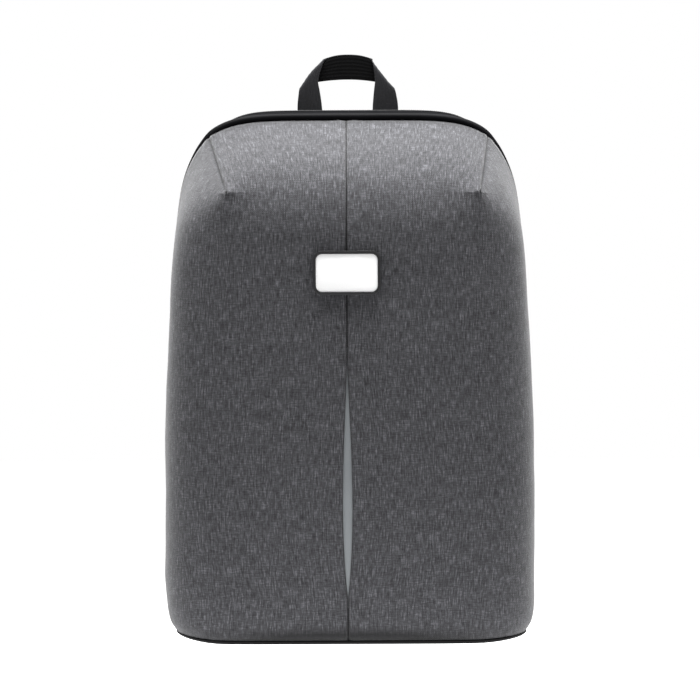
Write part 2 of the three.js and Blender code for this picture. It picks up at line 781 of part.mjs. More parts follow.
// The folded webbing handle: two upright legs, a slanting fold at each corner and the bridge behind them
function topHandle() {
  const lean = Math.PI / 4 + handleLift / 2;
  const skewFull = Math.tan(lean);
  const wrapRise = (Math.PI * handleFoldRadius) / Math.cos(lean);
  const inner = handleHalfSpan - webWidth;
  const rows = [];
  const legSteps = 3;
  for (let k = 0; k < legSteps; k += 1) {
    const t = k / legSteps;
    const rise = THREE.MathUtils.lerp(handleLegFoot, handleFoldHeight - handleFoldLead, t);
    rows.push({ rise, skew: skewFull * t * t });
  }
  const wrapSteps = 6;
  for (let k = 0; k <= wrapSteps; k += 1) {
    rows.push({ rise: handleFoldHeight + (wrapRise * k) / wrapSteps, skew: skewFull });
  }
  const ring = (row) => [[0, 1], [webWidth, 1], [webWidth, -1], [0, -1]].map(([across, layer]) => {
    const rise = row.rise + across * row.skew;
    return foldedWebPoint(rise, handleHalfSpan - across, (layer * webThickness) / 2);
  });
  const right = rows.map(ring);
  const bridgeSteps = 4;
  const lastRing = right[right.length - 1];
  const centre = [1, 1, -1, -1].map((layer, k) => {
    const lower = k === 0 || k === 3;
    const sag = (Math.tan(handleLift) * inner) / 2;
    const shift = Math.PI * handleFoldRadius * Math.tan(lean);
    const startX = handleHalfSpan - shift * Math.cos(lean);
    const startZ = handleFoldHeight + shift * Math.sin(lean);
    const edge = startZ + Math.tan(handleLift) * startX - sag;
    const z = lower ? edge : edge + webWidth / Math.cos(handleLift);
    return new THREE.Vector3(0, 2 * handleFoldRadius + (layer * webThickness) / 2, z);
  });
  for (let k = 1; k <= bridgeSteps; k += 1) {
    const t = k / bridgeSteps;
    right.push(lastRing.map((point, n) => {
      const goal = centre[n];
      const ease = 1 - (1 - t) * (1 - t);
      const x = THREE.MathUtils.lerp(point.x, goal.x, t);
      return new THREE.Vector3(x, goal.y, THREE.MathUtils.lerp(point.z, goal.z, ease));
    }));
  }
  const left = right.slice(0, -1).reverse().map((points) => (
    points.map((point) => new THREE.Vector3(-point.x, point.y, point.z))));
  const shape = [[0, 0], [1, 0], [1, 1], [0, 1]].map(([x, y]) => new THREE.Vector2(x, y));
  const solid = loftRings([...right, ...left], shape);
  solid.translate(0, bodyDepth / 2 + clearance + webThickness / 2, 0);
  return solid;
}

// The patch over the feet of the handle, with room for the webbing under it
function strapYoke() {
  const outline = roundedRectangle(yokeWidth, yokeTop - yokeBottom, yokeThickness * 2);
  const options = { depth: yokeThickness, curveSegments: 4, bevelEnabled: false };
  const solid = sewnClosed(new THREE.ExtrudeGeometry(outline, options));
  solid.rotateX(Math.PI / 2);
  const y = bodyDepth / 2 + clearance + webThickness + clearance + yokeThickness;
  solid.translate(0, y, (yokeTop + yokeBottom) / 2);
  return solid;
}

// Course of a shoulder strap: shares of its drop, of its way outwards and of its bow behind the back
const strapCourse = [
  { along: 0, outward: 0, bow: 0 },
  { along: 0.1, outward: 0.015, bow: 0.42 },
  { along: 0.28, outward: 0.107, bow: 0.9 },
  { along: 0.5, outward: 0.313, bow: 1 },
  { along: 0.75, outward: 0.633, bow: 0.84 },
  { along: 1, outward: 1, bow: 0.56 },
];

// The route of a shoulder strap from the yoke down to its adjuster, on the right side
function strapRoute() {
  const start = bodyDepth / 2 + clearance + strapThickness / 2;
  const points = strapCourse.map((row) => new THREE.Vector3(
    THREE.MathUtils.lerp(strapTopX, strapLowX, row.outward),
    start + strapBow * row.bow,
    THREE.MathUtils.lerp(strapTopHeight, strapLowHeight, row.along),
  ));
  return new THREE.CatmullRomCurve3(points, false, 'centripetal');
}

// Axes of a band that follows a route: across its width and out of its face
function bandAxes(route, t) {
  const along = route.getTangentAt(t);
  const across = new THREE.Vector3(1, 0, 0).addScaledVector(along, -along.x).normalize();
  const out = new THREE.Vector3().crossVectors(along, across).normalize();
  return { along, across, out };
}

// A band of a flat section along a route: side is half of its edge as a share of the thickness, and
// shoulder is where its faces end as a share of half its width
function bandAlong(route, steps, widthAt, thickness, side, shoulder) {
  const outline = [
    [-1, -side], [-shoulder, -0.5], [shoulder, -0.5], [1, -side],
    [1, side], [shoulder, 0.5], [-shoulder, 0.5], [-1, side],
  ];
  const rings = [];
  for (let k = 0; k <= steps; k += 1) {
    const t = k / steps;
    const centre = route.getPointAt(t);
    const { across, out } = bandAxes(route, t);
    rings.push(outline.map(([w, h]) => centre.clone()
      .addScaledVector(across, (w * widthAt(t)) / 2)
      .addScaledVector(out, h * thickness)));
  }
  return loftRings(rings, outline.map(([x, y]) => new THREE.Vector2(x, y)));
}

function mirrored(geometry) {
  geometry.scale(-1, 1, 1);
  return turnedInsideOut(geometry);
}

function onSide(geometry, side) {
  return side > 0 ? geometry : mirrored(geometry);
}

function shoulderStrap(side) {
  const widthAt = (t) => THREE.MathUtils.lerp(strapWidth, strapLowerWidth, t * t * t);
  return onSide(bandAlong(strapRoute(), 16, widthAt, strapThickness, 0.25, 0.925), side);
}

// Frame of the adjuster below the end of a padded strap
function adjusterPlace() {
  const route = strapRoute();
  const { along, across, out } = bandAxes(route, 1);
  const centre = route.getPointAt(1).addScaledVector(along, tabLength + adjusterTall / 2);
  return { centre, along, across, out };
}

// A flat frame with three bars and two slots
function strapAdjuster(side) {
  const outline = roundedRectangle(adjusterWidth, adjusterTall, adjusterRound);
  const slotWidth = adjusterWidth - 2 * adjusterBar;
  const slotTall = (adjusterTall - 3 * adjusterBar) / 2;
  for (const sign of [-1, 1]) {
    const slot = new THREE.Path();
    const middle = (sign * (slotTall + adjusterBar)) / 2;
    slot.moveTo(-slotWidth / 2, middle - slotTall / 2);
    slot.lineTo(slotWidth / 2, middle - slotTall / 2);
    slot.lineTo(slotWidth / 2, middle + slotTall / 2);
    slot.lineTo(-slotWidth / 2, middle + slotTall / 2);
    outline.holes.push(slot);
  }
  const options = { depth: adjusterDepth, curveSegments: 4, bevelEnabled: false };
  const solid = sewnClosed(new THREE.ExtrudeGeometry(outline, options));
  solid.translate(0, 0, -adjusterDepth / 2);
  const { centre, along, across, out } = adjusterPlace();
  const turn = new THREE.Matrix4().makeBasis(across, along.clone().negate(), out.clone().negate());
  turn.setPosition(centre);
  solid.applyMatrix4(turn);
  if (signedVolume(solid) < 0) turnedInsideOut(solid);
  return onSide(solid, side);
}

// A thin band through points, each with the direction across its width
function ribbon(points, acrossAt, width, thickness) {
  const rings = points.map((point, k) => {
    const before = points[Math.max(k - 1, 0)];
    const after = points[Math.min(k + 1, points.length - 1)];
    const across = acrossAt(k);
    const normal = after.clone().sub(before).cross(across).normalize();
    return [[-1, -1], [1, -1], [1, 1], [-1, 1]].map(([w, h]) => point.clone()
      .addScaledVector(across, (w * width) / 2)
      .addScaledVector(normal, (h * thickness) / 2));
  });
  const shape = [[0, 0], [1, 0], [1, 1], [0, 1]].map(([x, y]) => new THREE.Vector2(x, y));
  return loftRings(rings, shape);
}

// A point beside the adjuster: along the strap from its centre and out towards the back panel
function besideAdjuster(frame, along, out) {
  return frame.centre.clone()
    .addScaledVector(frame.along, along)
    .addScaledVector(frame.out, out);
}

// The turn of a webbing round a bar of the adjuster, over the side that from and to pass
function turnRoundBar(frame, bar, from, to) {
  const points = [];
  const steps = 6;
  for (let k = 0; k <= steps; k += 1) {
    const angle = THREE.MathUtils.lerp(from, to, k / steps);
    points.push(besideAdjuster(
      frame, bar + barTurn * Math.cos(angle), barTurn * Math.sin(angle)));
  }
  return points;
}

const quarterTurn = Math.PI / 2;
const barTurn = (adjusterBar / 2) * Math.SQRT2 + clearance + lowerWebThickness / 2;

// The short webbing that holds the adjuster on the strap: round its top bar and back
function strapTab(side) {
  const frame = adjusterPlace();
  const bar = -adjusterTall / 2 + adjusterBar / 2;
  const foot = -adjusterTall / 2 - tabLength + clearance;
  const points = [
    besideAdjuster(frame, foot, -barTurn),
    ...turnRoundBar(frame, bar, -quarterTurn, quarterTurn),
    besideAdjuster(frame, foot, barTurn),
  ];
  return onSide(ribbon(points, () => frame.across, lowerWebWidth, lowerWebThickness), side);
}

// The webbing from its free tail, up over the middle bar of the adjuster and down to the back panel
function strapWebbing(side) {
  const frame = adjusterPlace();
  const past = adjusterTall / 2 + adjusterBar;
  const leave = besideAdjuster(frame, past, barTurn);
  const foot = new THREE.Vector3(
    anchorX, bodyDepth / 2 + clearance + lowerWebThickness / 2, anchorHeight);
  const end = foot.clone();
  end.z += anchorTall / 2 + lowerWebThickness;
  const lead = leave.distanceTo(end) / 3;
  const drop = new THREE.CubicBezierCurve3(
    leave,
    leave.clone().addScaledVector(frame.along, lead),
    end.clone().add(new THREE.Vector3(0, 0, lead)),
    end,
  );
  const head = [
    besideAdjuster(frame, past + webTail, -barTurn),
    besideAdjuster(frame, past, -barTurn),
    ...turnRoundBar(frame, 0, -quarterTurn, -3 * quarterTurn),
  ];
  const dropSteps = 8;
  const points = [...head, ...drop.getPoints(dropSteps), foot];
  const sideways = new THREE.Vector3(1, 0, 0);
  const acrossAt = (k) => {
    const t = THREE.MathUtils.clamp((k - head.length) / dropSteps, 0, 1);
    return frame.across.clone().lerp(sideways, t).normalize();
  };
  return onSide(ribbon(points, acrossAt, lowerWebWidth, lowerWebThickness), side);
}

// The sewn patch that holds the end of the webbing on the back panel
function strapAnchor(side) {
  const outline = roundedRectangle(anchorWidth, anchorTall, anchorThickness);
  const options = { depth: anchorThickness, curveSegments: 3, bevelEnabled: false };
  const solid = sewnClosed(new THREE.ExtrudeGeometry(outline, options));
  solid.rotateX(Math.PI / 2);
  const y = bodyDepth / 2 + clearance + lowerWebThickness + clearance + anchorThickness;
  solid.translate(anchorX, y, anchorHeight);
  return onSide(solid, side);
}

const materials = {
  melange: { color: 0x6b6b6d, roughness: 0.95, metalness: 0 },
  reflective: { color: 0x9a9d9f, roughness: 0.45, metalness: 0.2 },
  badgeBlack: { color: 0x141416, roughness: 0.4, metalness: 0 },
  badgeWhite: { color: 0xf4f4f4, roughness: 0.5, metalness: 0 },
  rubberised: { color: 0x1b1b1d, roughness: 0.5, metalness: 0 },
  blackFabric: { color: 0x232325, roughness: 0.9, metalness: 0 },
  airMesh: { color: 0x1d1d1f, roughness: 0.95, metalness: 0 },
  webbing: { color: 0x2b2b2d, roughness: 0.85, metalness: 0 },
  zipNylon: { color: 0x1a1a1c, roughness: 0.6, metalness: 0 },
  sliderMetal: { color: 0x2a2a2c, roughness: 0.35, metalness: 0.8 },
  adjusterPlastic: { color: 0x18181a, roughness: 0.5, metalness: 0 },
};

const backpack = new THREE.Group();

function add(name, geometry, material) {
  const mesh = new THREE.Mesh(geometry, new THREE.MeshStandardMaterial(materials[material]));
  mesh.name = name;
  backpack.add(mesh);
  return mesh;
}

add('shell_left', shellHalf(-1), 'melange');
add('shell_right', shellHalf(1), 'melange');
add('reflective_strip', reflectiveStrip(), 'reflective');
seatOnFront(add('badge_frame', badgeFrame(), 'badgeBlack'));
seatOnFront(add('badge_plate', badgePlate(), 'badgeWhite'));
add('edge_piping', edgePiping(), 'rubberised');
add('zip_gusset', zipGusset(), 'blackFabric');
add('zip_coil', zipCoil(), 'zipNylon');
add('zip_slider_upper', zipSlider(sliderUpperHeight, -1), 'sliderMetal');
add('zip_slider_lower', zipSlider(sliderLowerHeight, 1), 'sliderMetal');
add('base_panel', basePanel(), 'blackFabric');
add('back_panel', backPanel(), 'airMesh');
add('top_handle', topHandle(), 'webbing');
add('strap_yoke', strapYoke(), 'blackFabric');
for (const [name, side] of [['left', -1], ['right', 1]]) {
  add(`shoulder_strap_${name}`, shoulderStrap(side), 'airMesh');
  add(`strap_tab_${name}`, strapTab(side), 'webbing');
  add(`strap_adjuster_${name}`, strapAdjuster(side), 'adjusterPlastic');
  add(`strap_webbing_${name}`, strapWebbing(side), 'webbing');
  add(`strap_anchor_${name}`, strapAnchor(side), 'blackFabric');
}

export default backpack;
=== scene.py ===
# An anti theft backpack: the looks of every piece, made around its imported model.
# Laid out as an add-on and run as a script. Shapes are worked out in millimetres and built in metres.

import itertools
import json
import math

import bmesh
import bpy
import numpy as np
from bpy.props import FloatProperty, IntProperty, PointerProperty, StringProperty
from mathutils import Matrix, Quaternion, Vector, noise


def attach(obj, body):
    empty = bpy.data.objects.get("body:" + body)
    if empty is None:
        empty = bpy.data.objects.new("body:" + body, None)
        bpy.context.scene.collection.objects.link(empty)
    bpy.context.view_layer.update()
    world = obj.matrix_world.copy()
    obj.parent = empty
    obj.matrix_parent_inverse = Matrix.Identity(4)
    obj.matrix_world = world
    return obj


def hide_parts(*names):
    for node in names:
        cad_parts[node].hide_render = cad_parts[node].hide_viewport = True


bl_info = {
    "name": "Anti Theft Backpack",
    "version": (1, 0, 0),
    "blender": (4, 5, 0),
    "location": "3D View > Sidebar > Backpack",
    "description": "Builds a grey melange backpack with black trim, piece by piece",
    "category": "Object",
}

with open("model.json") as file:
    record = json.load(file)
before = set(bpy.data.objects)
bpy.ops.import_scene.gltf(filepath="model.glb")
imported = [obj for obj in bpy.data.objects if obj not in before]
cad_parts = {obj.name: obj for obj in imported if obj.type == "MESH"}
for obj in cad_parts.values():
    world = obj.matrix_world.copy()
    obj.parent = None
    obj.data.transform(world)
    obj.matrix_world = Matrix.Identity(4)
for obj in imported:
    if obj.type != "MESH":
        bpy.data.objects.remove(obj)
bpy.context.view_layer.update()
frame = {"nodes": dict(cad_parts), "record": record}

MM = 0.001
ROOT = "root"

# Driving dimensions of the bag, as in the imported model
BODY_HEIGHT = 440.0
HALF_WIDTH = 152.0
EDGE_Y = 25.0
FRONT_REACH = 95.0
REAR_Y = 70.0
PANEL_FRONT_Y = 58.0
CLEARANCE = 0.3
SEAM_GAP = 0.3
SEAM_X = -1.8
FLOOR_OF_SHELL = 3.3
SQUARENESS = 4.6
CORNER_LINE_X = 107.0
BROW_HEIGHT = 367.0
BROW_SOFTNESS = 37.0
BROW_RECESS = 8.5
BROW_SPREAD = 7.0
DART_TIP = {-1: 99.6, 1: 107.6}
DART_TOP_X = 115.5
DART_TOP_HEIGHT = 413.8
ARCH_HEIGHT = 427.3
ARCH_CURL = 6.0
SLOPE_FLATNESS = math.radians(32)
BLEND_HEIGHT = 0.83 * BROW_HEIGHT
SIDE_CROWDING = 1.6
PLEAT_BOTTOM = 38.5
PLEAT_TOP = 232.0
PLEAT_WIDTH = 7.5
PLEAT_PEAK = 0.39
PLEAT_FALL = 1.5
PIPING_DIAMETER = 6.0
PIPING_SINK = 3.1
BAND_WALL = 2.0
BAND_SIDE_RISE = -3.0
BAND_TOP_RISE = 9.2
BAND_BACK_DROP = 3.0
CROWN_SHARPNESS = 8
BAND_FRONT_Y = EDGE_Y + CLEARANCE + PIPING_DIAMETER + CLEARANCE
BAND_BACK_Y = PANEL_FRONT_Y - CLEARANCE
COIL_Y = (BAND_FRONT_Y + BAND_BACK_Y) / 2
COIL_END_HEIGHT = 70.0
WEB_WIDTH = 20.0
WEB_THICKNESS = 1.8
HANDLE_HALF_SPAN = 41.7
HANDLE_FOLD_HEIGHT = 452.2
HANDLE_FOLD_RADIUS = 1.4
HANDLE_FOLD_LEAD = 4.0
HANDLE_LIFT = math.radians(12)
HANDLE_LEG_FOOT = 404.0

# Level sections from the base to the shoulder: height, half width and reach as shares
SECTIONS = np.array([
    (0.0075, 0.9550, 0.905), (0.0145, 0.9660, 0.930), (0.0250, 0.9800, 0.950), (0.0410, 0.9900, 0.968),
    (0.0640, 0.9970, 0.982), (0.1050, 1.0000, 0.996), (0.1700, 1.0000, 1.000), (0.2600, 1.0000, 0.990),
    (0.3600, 0.9990, 0.970), (0.4600, 0.9905, 0.946), (0.5700, 0.9780, 0.916), (0.6700, 0.9645, 0.886),
    (0.7600, 0.9430, 0.866), (0.8200, 0.9220, 0.860), (0.8500, 0.9050, 0.860), (0.8800, 0.8760, 0.860),
    (0.9100, 0.8320, 0.860), (0.9300, 0.7890, 0.860), (0.9405, 0.7600, 0.860),
])
WIDTH_COLUMN, REACH_COLUMN = 1, 2

# Section of the zip band from the welt to the back panel: along, rise and back drop as shares
BAND_SECTION = np.array([
    (0.0, 0.25, 0.0), (0.2, 0.8, 0.1), (0.36, 1.0, 0.3), (0.64, 1.0, 0.3), (0.82, 0.6, 0.6), (1.0, 0.0, 1.0),
])


# Sizes and colours that a user would change

class ShellSettings(bpy.types.PropertyGroup):
    """Cloth of the front, its seams and darts"""
    colour: StringProperty(name="Shell", description="Melange cloth, sRGB hex", default="#404043")
    strip_colour: StringProperty(name="Insert", description="Reflective tape, sRGB hex", default="#84888b")
    seam_depth: FloatProperty(name="Seam depth", description="Depth of the valley along a seam, in mm",
                              default=1.3, min=0, max=4)
    seam_width: FloatProperty(name="Seam width", description="Half width of that valley, in mm",
                              default=1.3, min=0.3, max=5)
    puff: FloatProperty(name="Puff", description="How far the cloth swells beside a seam, in mm",
                        default=0.45, min=0, max=3)
    sag: FloatProperty(name="Sag", description="Depth of the soft waves in the cloth, in mm",
                       default=0.9, min=0, max=4)
    cloth: FloatProperty(name="Cloth", description="Thickness of the cloth wall, in mm",
                         default=1.6, min=0.5, max=3)


class TrimSettings(bpy.types.PropertyGroup):
    """Black trim round the back edge"""
    colour: StringProperty(name="Trim", description="Coated welt, sRGB hex", default="#0b0b0d")
    band_colour: StringProperty(name="Band", description="Woven zip band, sRGB hex", default="#0b0b0d")
    tooth_pitch: FloatProperty(name="Tooth pitch", description="Spacing of the zip's coil, in mm",
                               default=1.6, min=0.8, max=4)
    stitch_pitch: FloatProperty(name="Stitch pitch", description="Spacing of the stitches, in mm",
                                default=3.2, min=1, max=8)


class CarrySettings(bpy.types.PropertyGroup):
    """Handle, straps and padded back"""
    web_colour: StringProperty(name="Webbing", description="Ribbed webbing, sRGB hex", default="#2e2e30")
    mesh_colour: StringProperty(name="Air mesh", description="Spacer mesh, sRGB hex", default="#1b1b1d")
    rib_depth: FloatProperty(name="Rib depth", description="Depth of the ribs of a webbing, in mm",
                             default=0.14, min=0, max=1)
    ribs: IntProperty(name="Ribs", description="Ribs across the handle", default=7, min=2, max=20)


class StageSettings(bpy.types.PropertyGroup):
    """Light of the plain studio"""
    room: FloatProperty(name="Room", description="Strength of the white room", default=1.0, min=0, max=3)
    front: FloatProperty(name="Front", description="Share of that light behind the camera", default=0.15,
                         min=0, max=1, subtype="FACTOR")
    softbox: FloatProperty(name="Softbox", description="Power of the overhead light", default=60.0,
                           min=0, max=200, unit="POWER")


# Lines and grids of points, in millimetres

def quads(rows, columns, wrap=False):
    """Corner numbers of the faces between the points of a grid."""
    j, i = np.meshgrid(np.arange(rows - 1), np.arange(columns if wrap else columns - 1), indexing="ij")
    right = (i + 1) % columns
    corners = [j * columns + i, j * columns + right, (j + 1) * columns + right, (j + 1) * columns + i]
    return np.stack(corners, -1).reshape(-1, 4)


def hermite(t, start, leave, end, arrive):
    """Smooth run from start to end at shares t, with its slopes at both."""
    t2, t3 = t * t, t * t * t
    from_start = (2 * t3 - 3 * t2 + 1) * start + (t3 - 2 * t2 + t) * leave
    return from_start + (3 * t2 - 2 * t3) * end + (t3 - t2) * arrive


def unit(vectors):
    return vectors / np.linalg.norm(vectors, axis=-1, keepdims=True)


def lengths_along(line):
    """Length of a polyline up to each of its points."""
    return np.concatenate([[0], np.cumsum(np.linalg.norm(np.diff(line, axis=0), axis=1))])


def sampled(at, places, values):
    """Each column of values, which stand at places, read at other places."""
    return np.stack([np.interp(at, places, column) for column in values.T], -1)


def bump_at(distance, width):
    return np.exp(-(distance / width) ** 2)


def soft_step(value, low, high):
    t = np.clip((value - low) / (high - low), 0, 1)
    return t * t * (3 - 2 * t)


# Meshes from grids of points

def sewn(grids, touching=0.002):
    """Points, faces and texture places of one sheet, from grids of (points, texture places in metres)."""
    points, faces, places, count = [], [], [], 0
    for grid, texture in grids:
        corners = quads(*grid.shape[:2])
        points.append(grid.reshape(-1, 3))
        faces.append(corners + count)
        places.append(texture.reshape(-1, 2)[corners])
        count += len(points[-1])
    points = np.concatenate(points)
    keys = np.round(points / touching).astype(np.int64)
    _, first, joined = np.unique(keys, axis=0, return_index=True, return_inverse=True)
    return points[first], joined.reshape(-1)[np.concatenate(faces)], np.concatenate(places)


def normals_of(points, faces):
    """Outward direction at each point, from the faces round it."""
    a, b, c, d = (points[faces[:, k]] for k in range(4))
    across = np.cross(c - a, d - b)
    total = np.zeros_like(points)
    for k in range(4):
        np.add.at(total, faces[:, k], across)
    return total / np.maximum(np.linalg.norm(total, axis=1, keepdims=True), 1e-12)


def walled(points, faces, places, inner):
    """The closed wall between an open sheet and its inner points."""
    edges = {}
    for number, face in enumerate(faces.tolist()):
        for k in range(4):
            a, b = face[k], face[(k + 1) % 4]
            if a == b:
                continue
            if (b, a) in edges:
                del edges[(b, a)]
            else:
                edges[(a, b)] = (number, k)
    count = len(points)
    rim = np.array([(b, a, a + count, b + count) for a, b in edges])
    at = np.array(list(edges.values()))
    near, far = places[at[:, 0], at[:, 1]], places[at[:, 0], (at[:, 1] + 1) % 4]
    rim_places = np.stack([far, near, near, far], 1)
    all_faces = np.concatenate([faces, faces[:, ::-1] + count, rim])
    return np.concatenate([points, inner]), all_faces, np.concatenate([places, places[:, ::-1], rim_places])


def scene_object(name, data):
    """An object of a mesh, lamp or camera at the origin of the scene."""
    made = bpy.data.objects.new(name, data)
    bpy.context.scene.collection.objects.link(made)
    return made


def mesh_object(name, points, faces, places):
    """A smooth object from points in millimetres; faces may have any number of corners."""
    mesh = bpy.data.meshes.new(name)
    mesh.from_pydata((points * MM).tolist(), [], [list(face) for face in faces])
    layer = mesh.uv_layers.new(name="cloth")
    flat = [place for face in places for place in face]
    layer.data.foreach_set("uv", np.asarray(flat, np.float32).reshape(-1))
    mesh.validate()
    mesh.shade_smooth()
    return scene_object(name, mesh)


def outward(made):
    """Turns every face of a closed mesh outwards."""
    work = bmesh.new()
    work.from_mesh(made.data)
    bmesh.ops.recalc_face_normals(work, faces=work.faces)
    work.to_mesh(made.data)
    work.free()


def loft(name, rings):
    """A tube through rings of points, closed at both ends, with its texture in metres."""
    rings = np.asarray(rings, float)
    count, sides = rings.shape[:2]
    closed = np.concatenate([rings, rings[:, :1]], 1)
    steps_round = np.linalg.norm(np.diff(closed, axis=1), axis=2).mean(0)
    around = np.concatenate([[0], np.cumsum(steps_round)]) * MM
    along = lengths_along(rings.mean(1)) * MM
    places = np.stack(np.meshgrid(around, along), -1).reshape(-1, 2)
    faces = quads(count, sides, wrap=True).tolist()
    faces += [list(range(sides))[::-1], [(count - 1) * sides + k for k in range(sides)]]
    corners = places[quads(count, sides + 1)].tolist() + [[[0, 0]] * sides] * 2
    made = mesh_object(name, rings.reshape(-1, 3), faces, corners)
    outward(made)
    return made


def points_of(mesh):
    """Places of a mesh's points, in millimetres."""
    points = np.empty(len(mesh.vertices) * 3, np.float32)
    mesh.vertices.foreach_get("co", points)
    return points.reshape(-1, 3) / MM


def set_points(mesh, points):
    mesh.vertices.foreach_set("co", (points * MM).astype(np.float32).reshape(-1))
    mesh.update()


# Share of painted shade at each point, which the materials of the shell and the webbing read
PAINTED_SHADE = "painted_shade"


def set_painted_shade(made, values):
    layer = made.data.attributes.new(PAINTED_SHADE, "FLOAT", "POINT")
    layer.data.foreach_set("value", np.asarray(values, np.float32).reshape(-1))


# The soft lower corners stand a little off the ground and pull to one side, by side
CORNER_FROM, CORNER_TO = 100.0, 147.0
CORNER_LIFT = {-1: 7.0, 1: 5.6}
CORNER_LIFT_HEIGHT = 34.0
CORNER_PULL = {-1: 2.6, 1: -0.8}
CORNER_PULL_HEIGHT = 55.0


def corners_lifted(made):
    """A piece with the soft lower corners of the bag."""
    points = points_of(made.data)
    left = points[:, 0] < 0
    out = np.clip((np.abs(points[:, 0]) - CORNER_FROM) / (CORNER_TO - CORNER_FROM), 0, 1)
    low = 1 - np.clip(points[:, 2] / CORNER_LIFT_HEIGHT, 0, 1)
    pull_low = 1 - np.clip(points[:, 2] / CORNER_PULL_HEIGHT, 0, 1)
    points[:, 2] += np.where(left, CORNER_LIFT[-1], CORNER_LIFT[1]) * out ** 2 * low ** 2
    points[:, 0] += np.where(left, CORNER_PULL[-1], CORNER_PULL[1]) * out * pull_low
    set_points(made.data, points)
    return made


# The form of the shell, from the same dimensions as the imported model

def section_value(column, z):
    """Smooth value of one column of the section table at heights z."""
    heights, values = SECTIONS[:, 0], SECTIONS[:, column]
    last = len(heights) - 1
    share = np.asarray(z, float) / BODY_HEIGHT
    low = np.clip(np.searchsorted(heights, share, side="right") - 1, 0, last - 1)
    high = low + 1
    span = heights[high] - heights[low]
    rows = np.arange(last + 1)
    before, after = np.maximum(rows - 1, 0), np.minimum(rows + 1, last)
    slopes = (values[after] - values[before]) / (heights[after] - heights[before])
    t = np.clip((share - heights[low]) / span, 0, 1)
    return hermite(t, values[low], slopes[low] * span, values[high], slopes[high] * span)


def half_width_at(z):
    free = HALF_WIDTH * section_value(WIDTH_COLUMN, z)
    climb = np.clip((np.asarray(z, float) - BLEND_HEIGHT) / (DART_TOP_HEIGHT - BLEND_HEIGHT), 0, 1)
    miss = DART_TOP_X - HALF_WIDTH * section_value(WIDTH_COLUMN, DART_TOP_HEIGHT)
    return free + miss * climb ** 3


def reach_at(z):
    return FRONT_REACH * section_value(REACH_COLUMN, z)


def pleat_half_width(z):
    t = (np.asarray(z, float) - PLEAT_BOTTOM) / (PLEAT_TOP - PLEAT_BOTTOM)
    inside = (t > 0) & (t < 1)
    safe = np.where(inside, t, 0.5)
    rise = PLEAT_FALL * PLEAT_PEAK / (1 - PLEAT_PEAK)
    shape = (safe / PLEAT_PEAK) ** rise * ((1 - safe) / (1 - PLEAT_PEAK)) ** PLEAT_FALL
    return np.where(inside, PLEAT_WIDTH / 2 * shape, 0)


def brow_ease(across):
    return 1 - np.minimum(np.abs(across), 1) ** BROW_SPREAD


class HalfForm:
    """The form of one half of the shell, drawn on the right for both: side is 1 at right and -1 at left."""

    def __init__(self, side):
        self.seam = SEAM_GAP / 2 + side * SEAM_X
        self.dart_tip = DART_TIP[side]
        self.tip = self.front(np.array(self.dart_tip), np.array(BROW_HEIGHT))
        self.top = np.array([DART_TOP_X, EDGE_Y, DART_TOP_HEIGHT])

    def corner_x(self, z):
        t = np.clip(np.asarray(z, float) / BROW_HEIGHT, 0, 1)
        return CORNER_LINE_X + (self.dart_tip - CORNER_LINE_X) * t * t

    def section_y(self, x, z):
        share = np.minimum(np.abs(x) / half_width_at(z), 1)
        return EDGE_Y - reach_at(z) * (1 - share ** SQUARENESS) ** (1 / SQUARENESS)

    def front(self, x, z):
        near = np.clip((z - BROW_HEIGHT + BROW_SOFTNESS) / BROW_SOFTNESS, 0, 1)
        recess = BROW_RECESS * near * near * brow_ease(x / self.corner_x(z))
        x, z = np.broadcast_arrays(np.asarray(x, float), np.asarray(z, float))
        return np.stack([x, self.section_y(x, z) + recess, z], -1)

    def dart(self, t):
        return self.tip + (self.top - self.tip) * np.asarray(t, float)[..., None]

    def side(self, c, z):
        deep = EDGE_Y - self.section_y(self.corner_x(z), z)
        y = EDGE_Y - deep * (1 - c ** SIDE_CROWDING)
        share = np.clip((EDGE_Y - y) / reach_at(z), 0, 1)
        x = half_width_at(z) * (1 - share ** SQUARENESS) ** (1 / SQUARENESS)
        return np.stack(np.broadcast_arrays(x, y, z), -1)


def arch_point(x):
    """Points of the top of the back edge between the heads of the two darts."""
    curl = (np.abs(x) / DART_TOP_X) ** ARCH_CURL
    return np.stack([x, np.full_like(x, EDGE_Y), ARCH_HEIGHT + (DART_TOP_HEIGHT - ARCH_HEIGHT) * curl], -1)


# Fine grids of the shell: columns and rows crowd where the cloth is worked
FRONT_COLUMNS = 72
FRONT_CROWDING = 0.13
PANEL_ROWS = 176
ROW_CROWDING = 0.09
SIDE_COLUMNS = 50


def row_heights():
    t = np.linspace(0, 1, PANEL_ROWS + 1)
    t = t - ROW_CROWDING * np.sin(2 * np.pi * t)
    return FLOOR_OF_SHELL + (BROW_HEIGHT - FLOOR_OF_SHELL) * t


def column_shares():
    t = np.linspace(0, 1, FRONT_COLUMNS + 1)
    return t - FRONT_CROWDING * np.sin(2 * np.pi * t)


def front_grid(form):
    z = row_heights()[:, None]
    inner = form.seam + pleat_half_width(z)
    a = column_shares()[None, :]
    return form.front(inner + (form.corner_x(z) - inner) * a, z)


def side_grid(form):
    z = row_heights()[:, None]
    c = np.linspace(0, 1, SIDE_COLUMNS + 1)[None, :]
    dart = form.dart(c ** SIDE_CROWDING)
    above = np.clip((z - BLEND_HEIGHT) / (BROW_HEIGHT - BLEND_HEIGHT), 0, 1)
    climbing = BLEND_HEIGHT + (dart[..., 2] - BLEND_HEIGHT) * above
    height = np.where(z > BLEND_HEIGHT, climbing, z)
    miss = dart - form.side(c, dart[..., 2])
    return form.side(c, height) + miss * (above ** 3)[..., None]


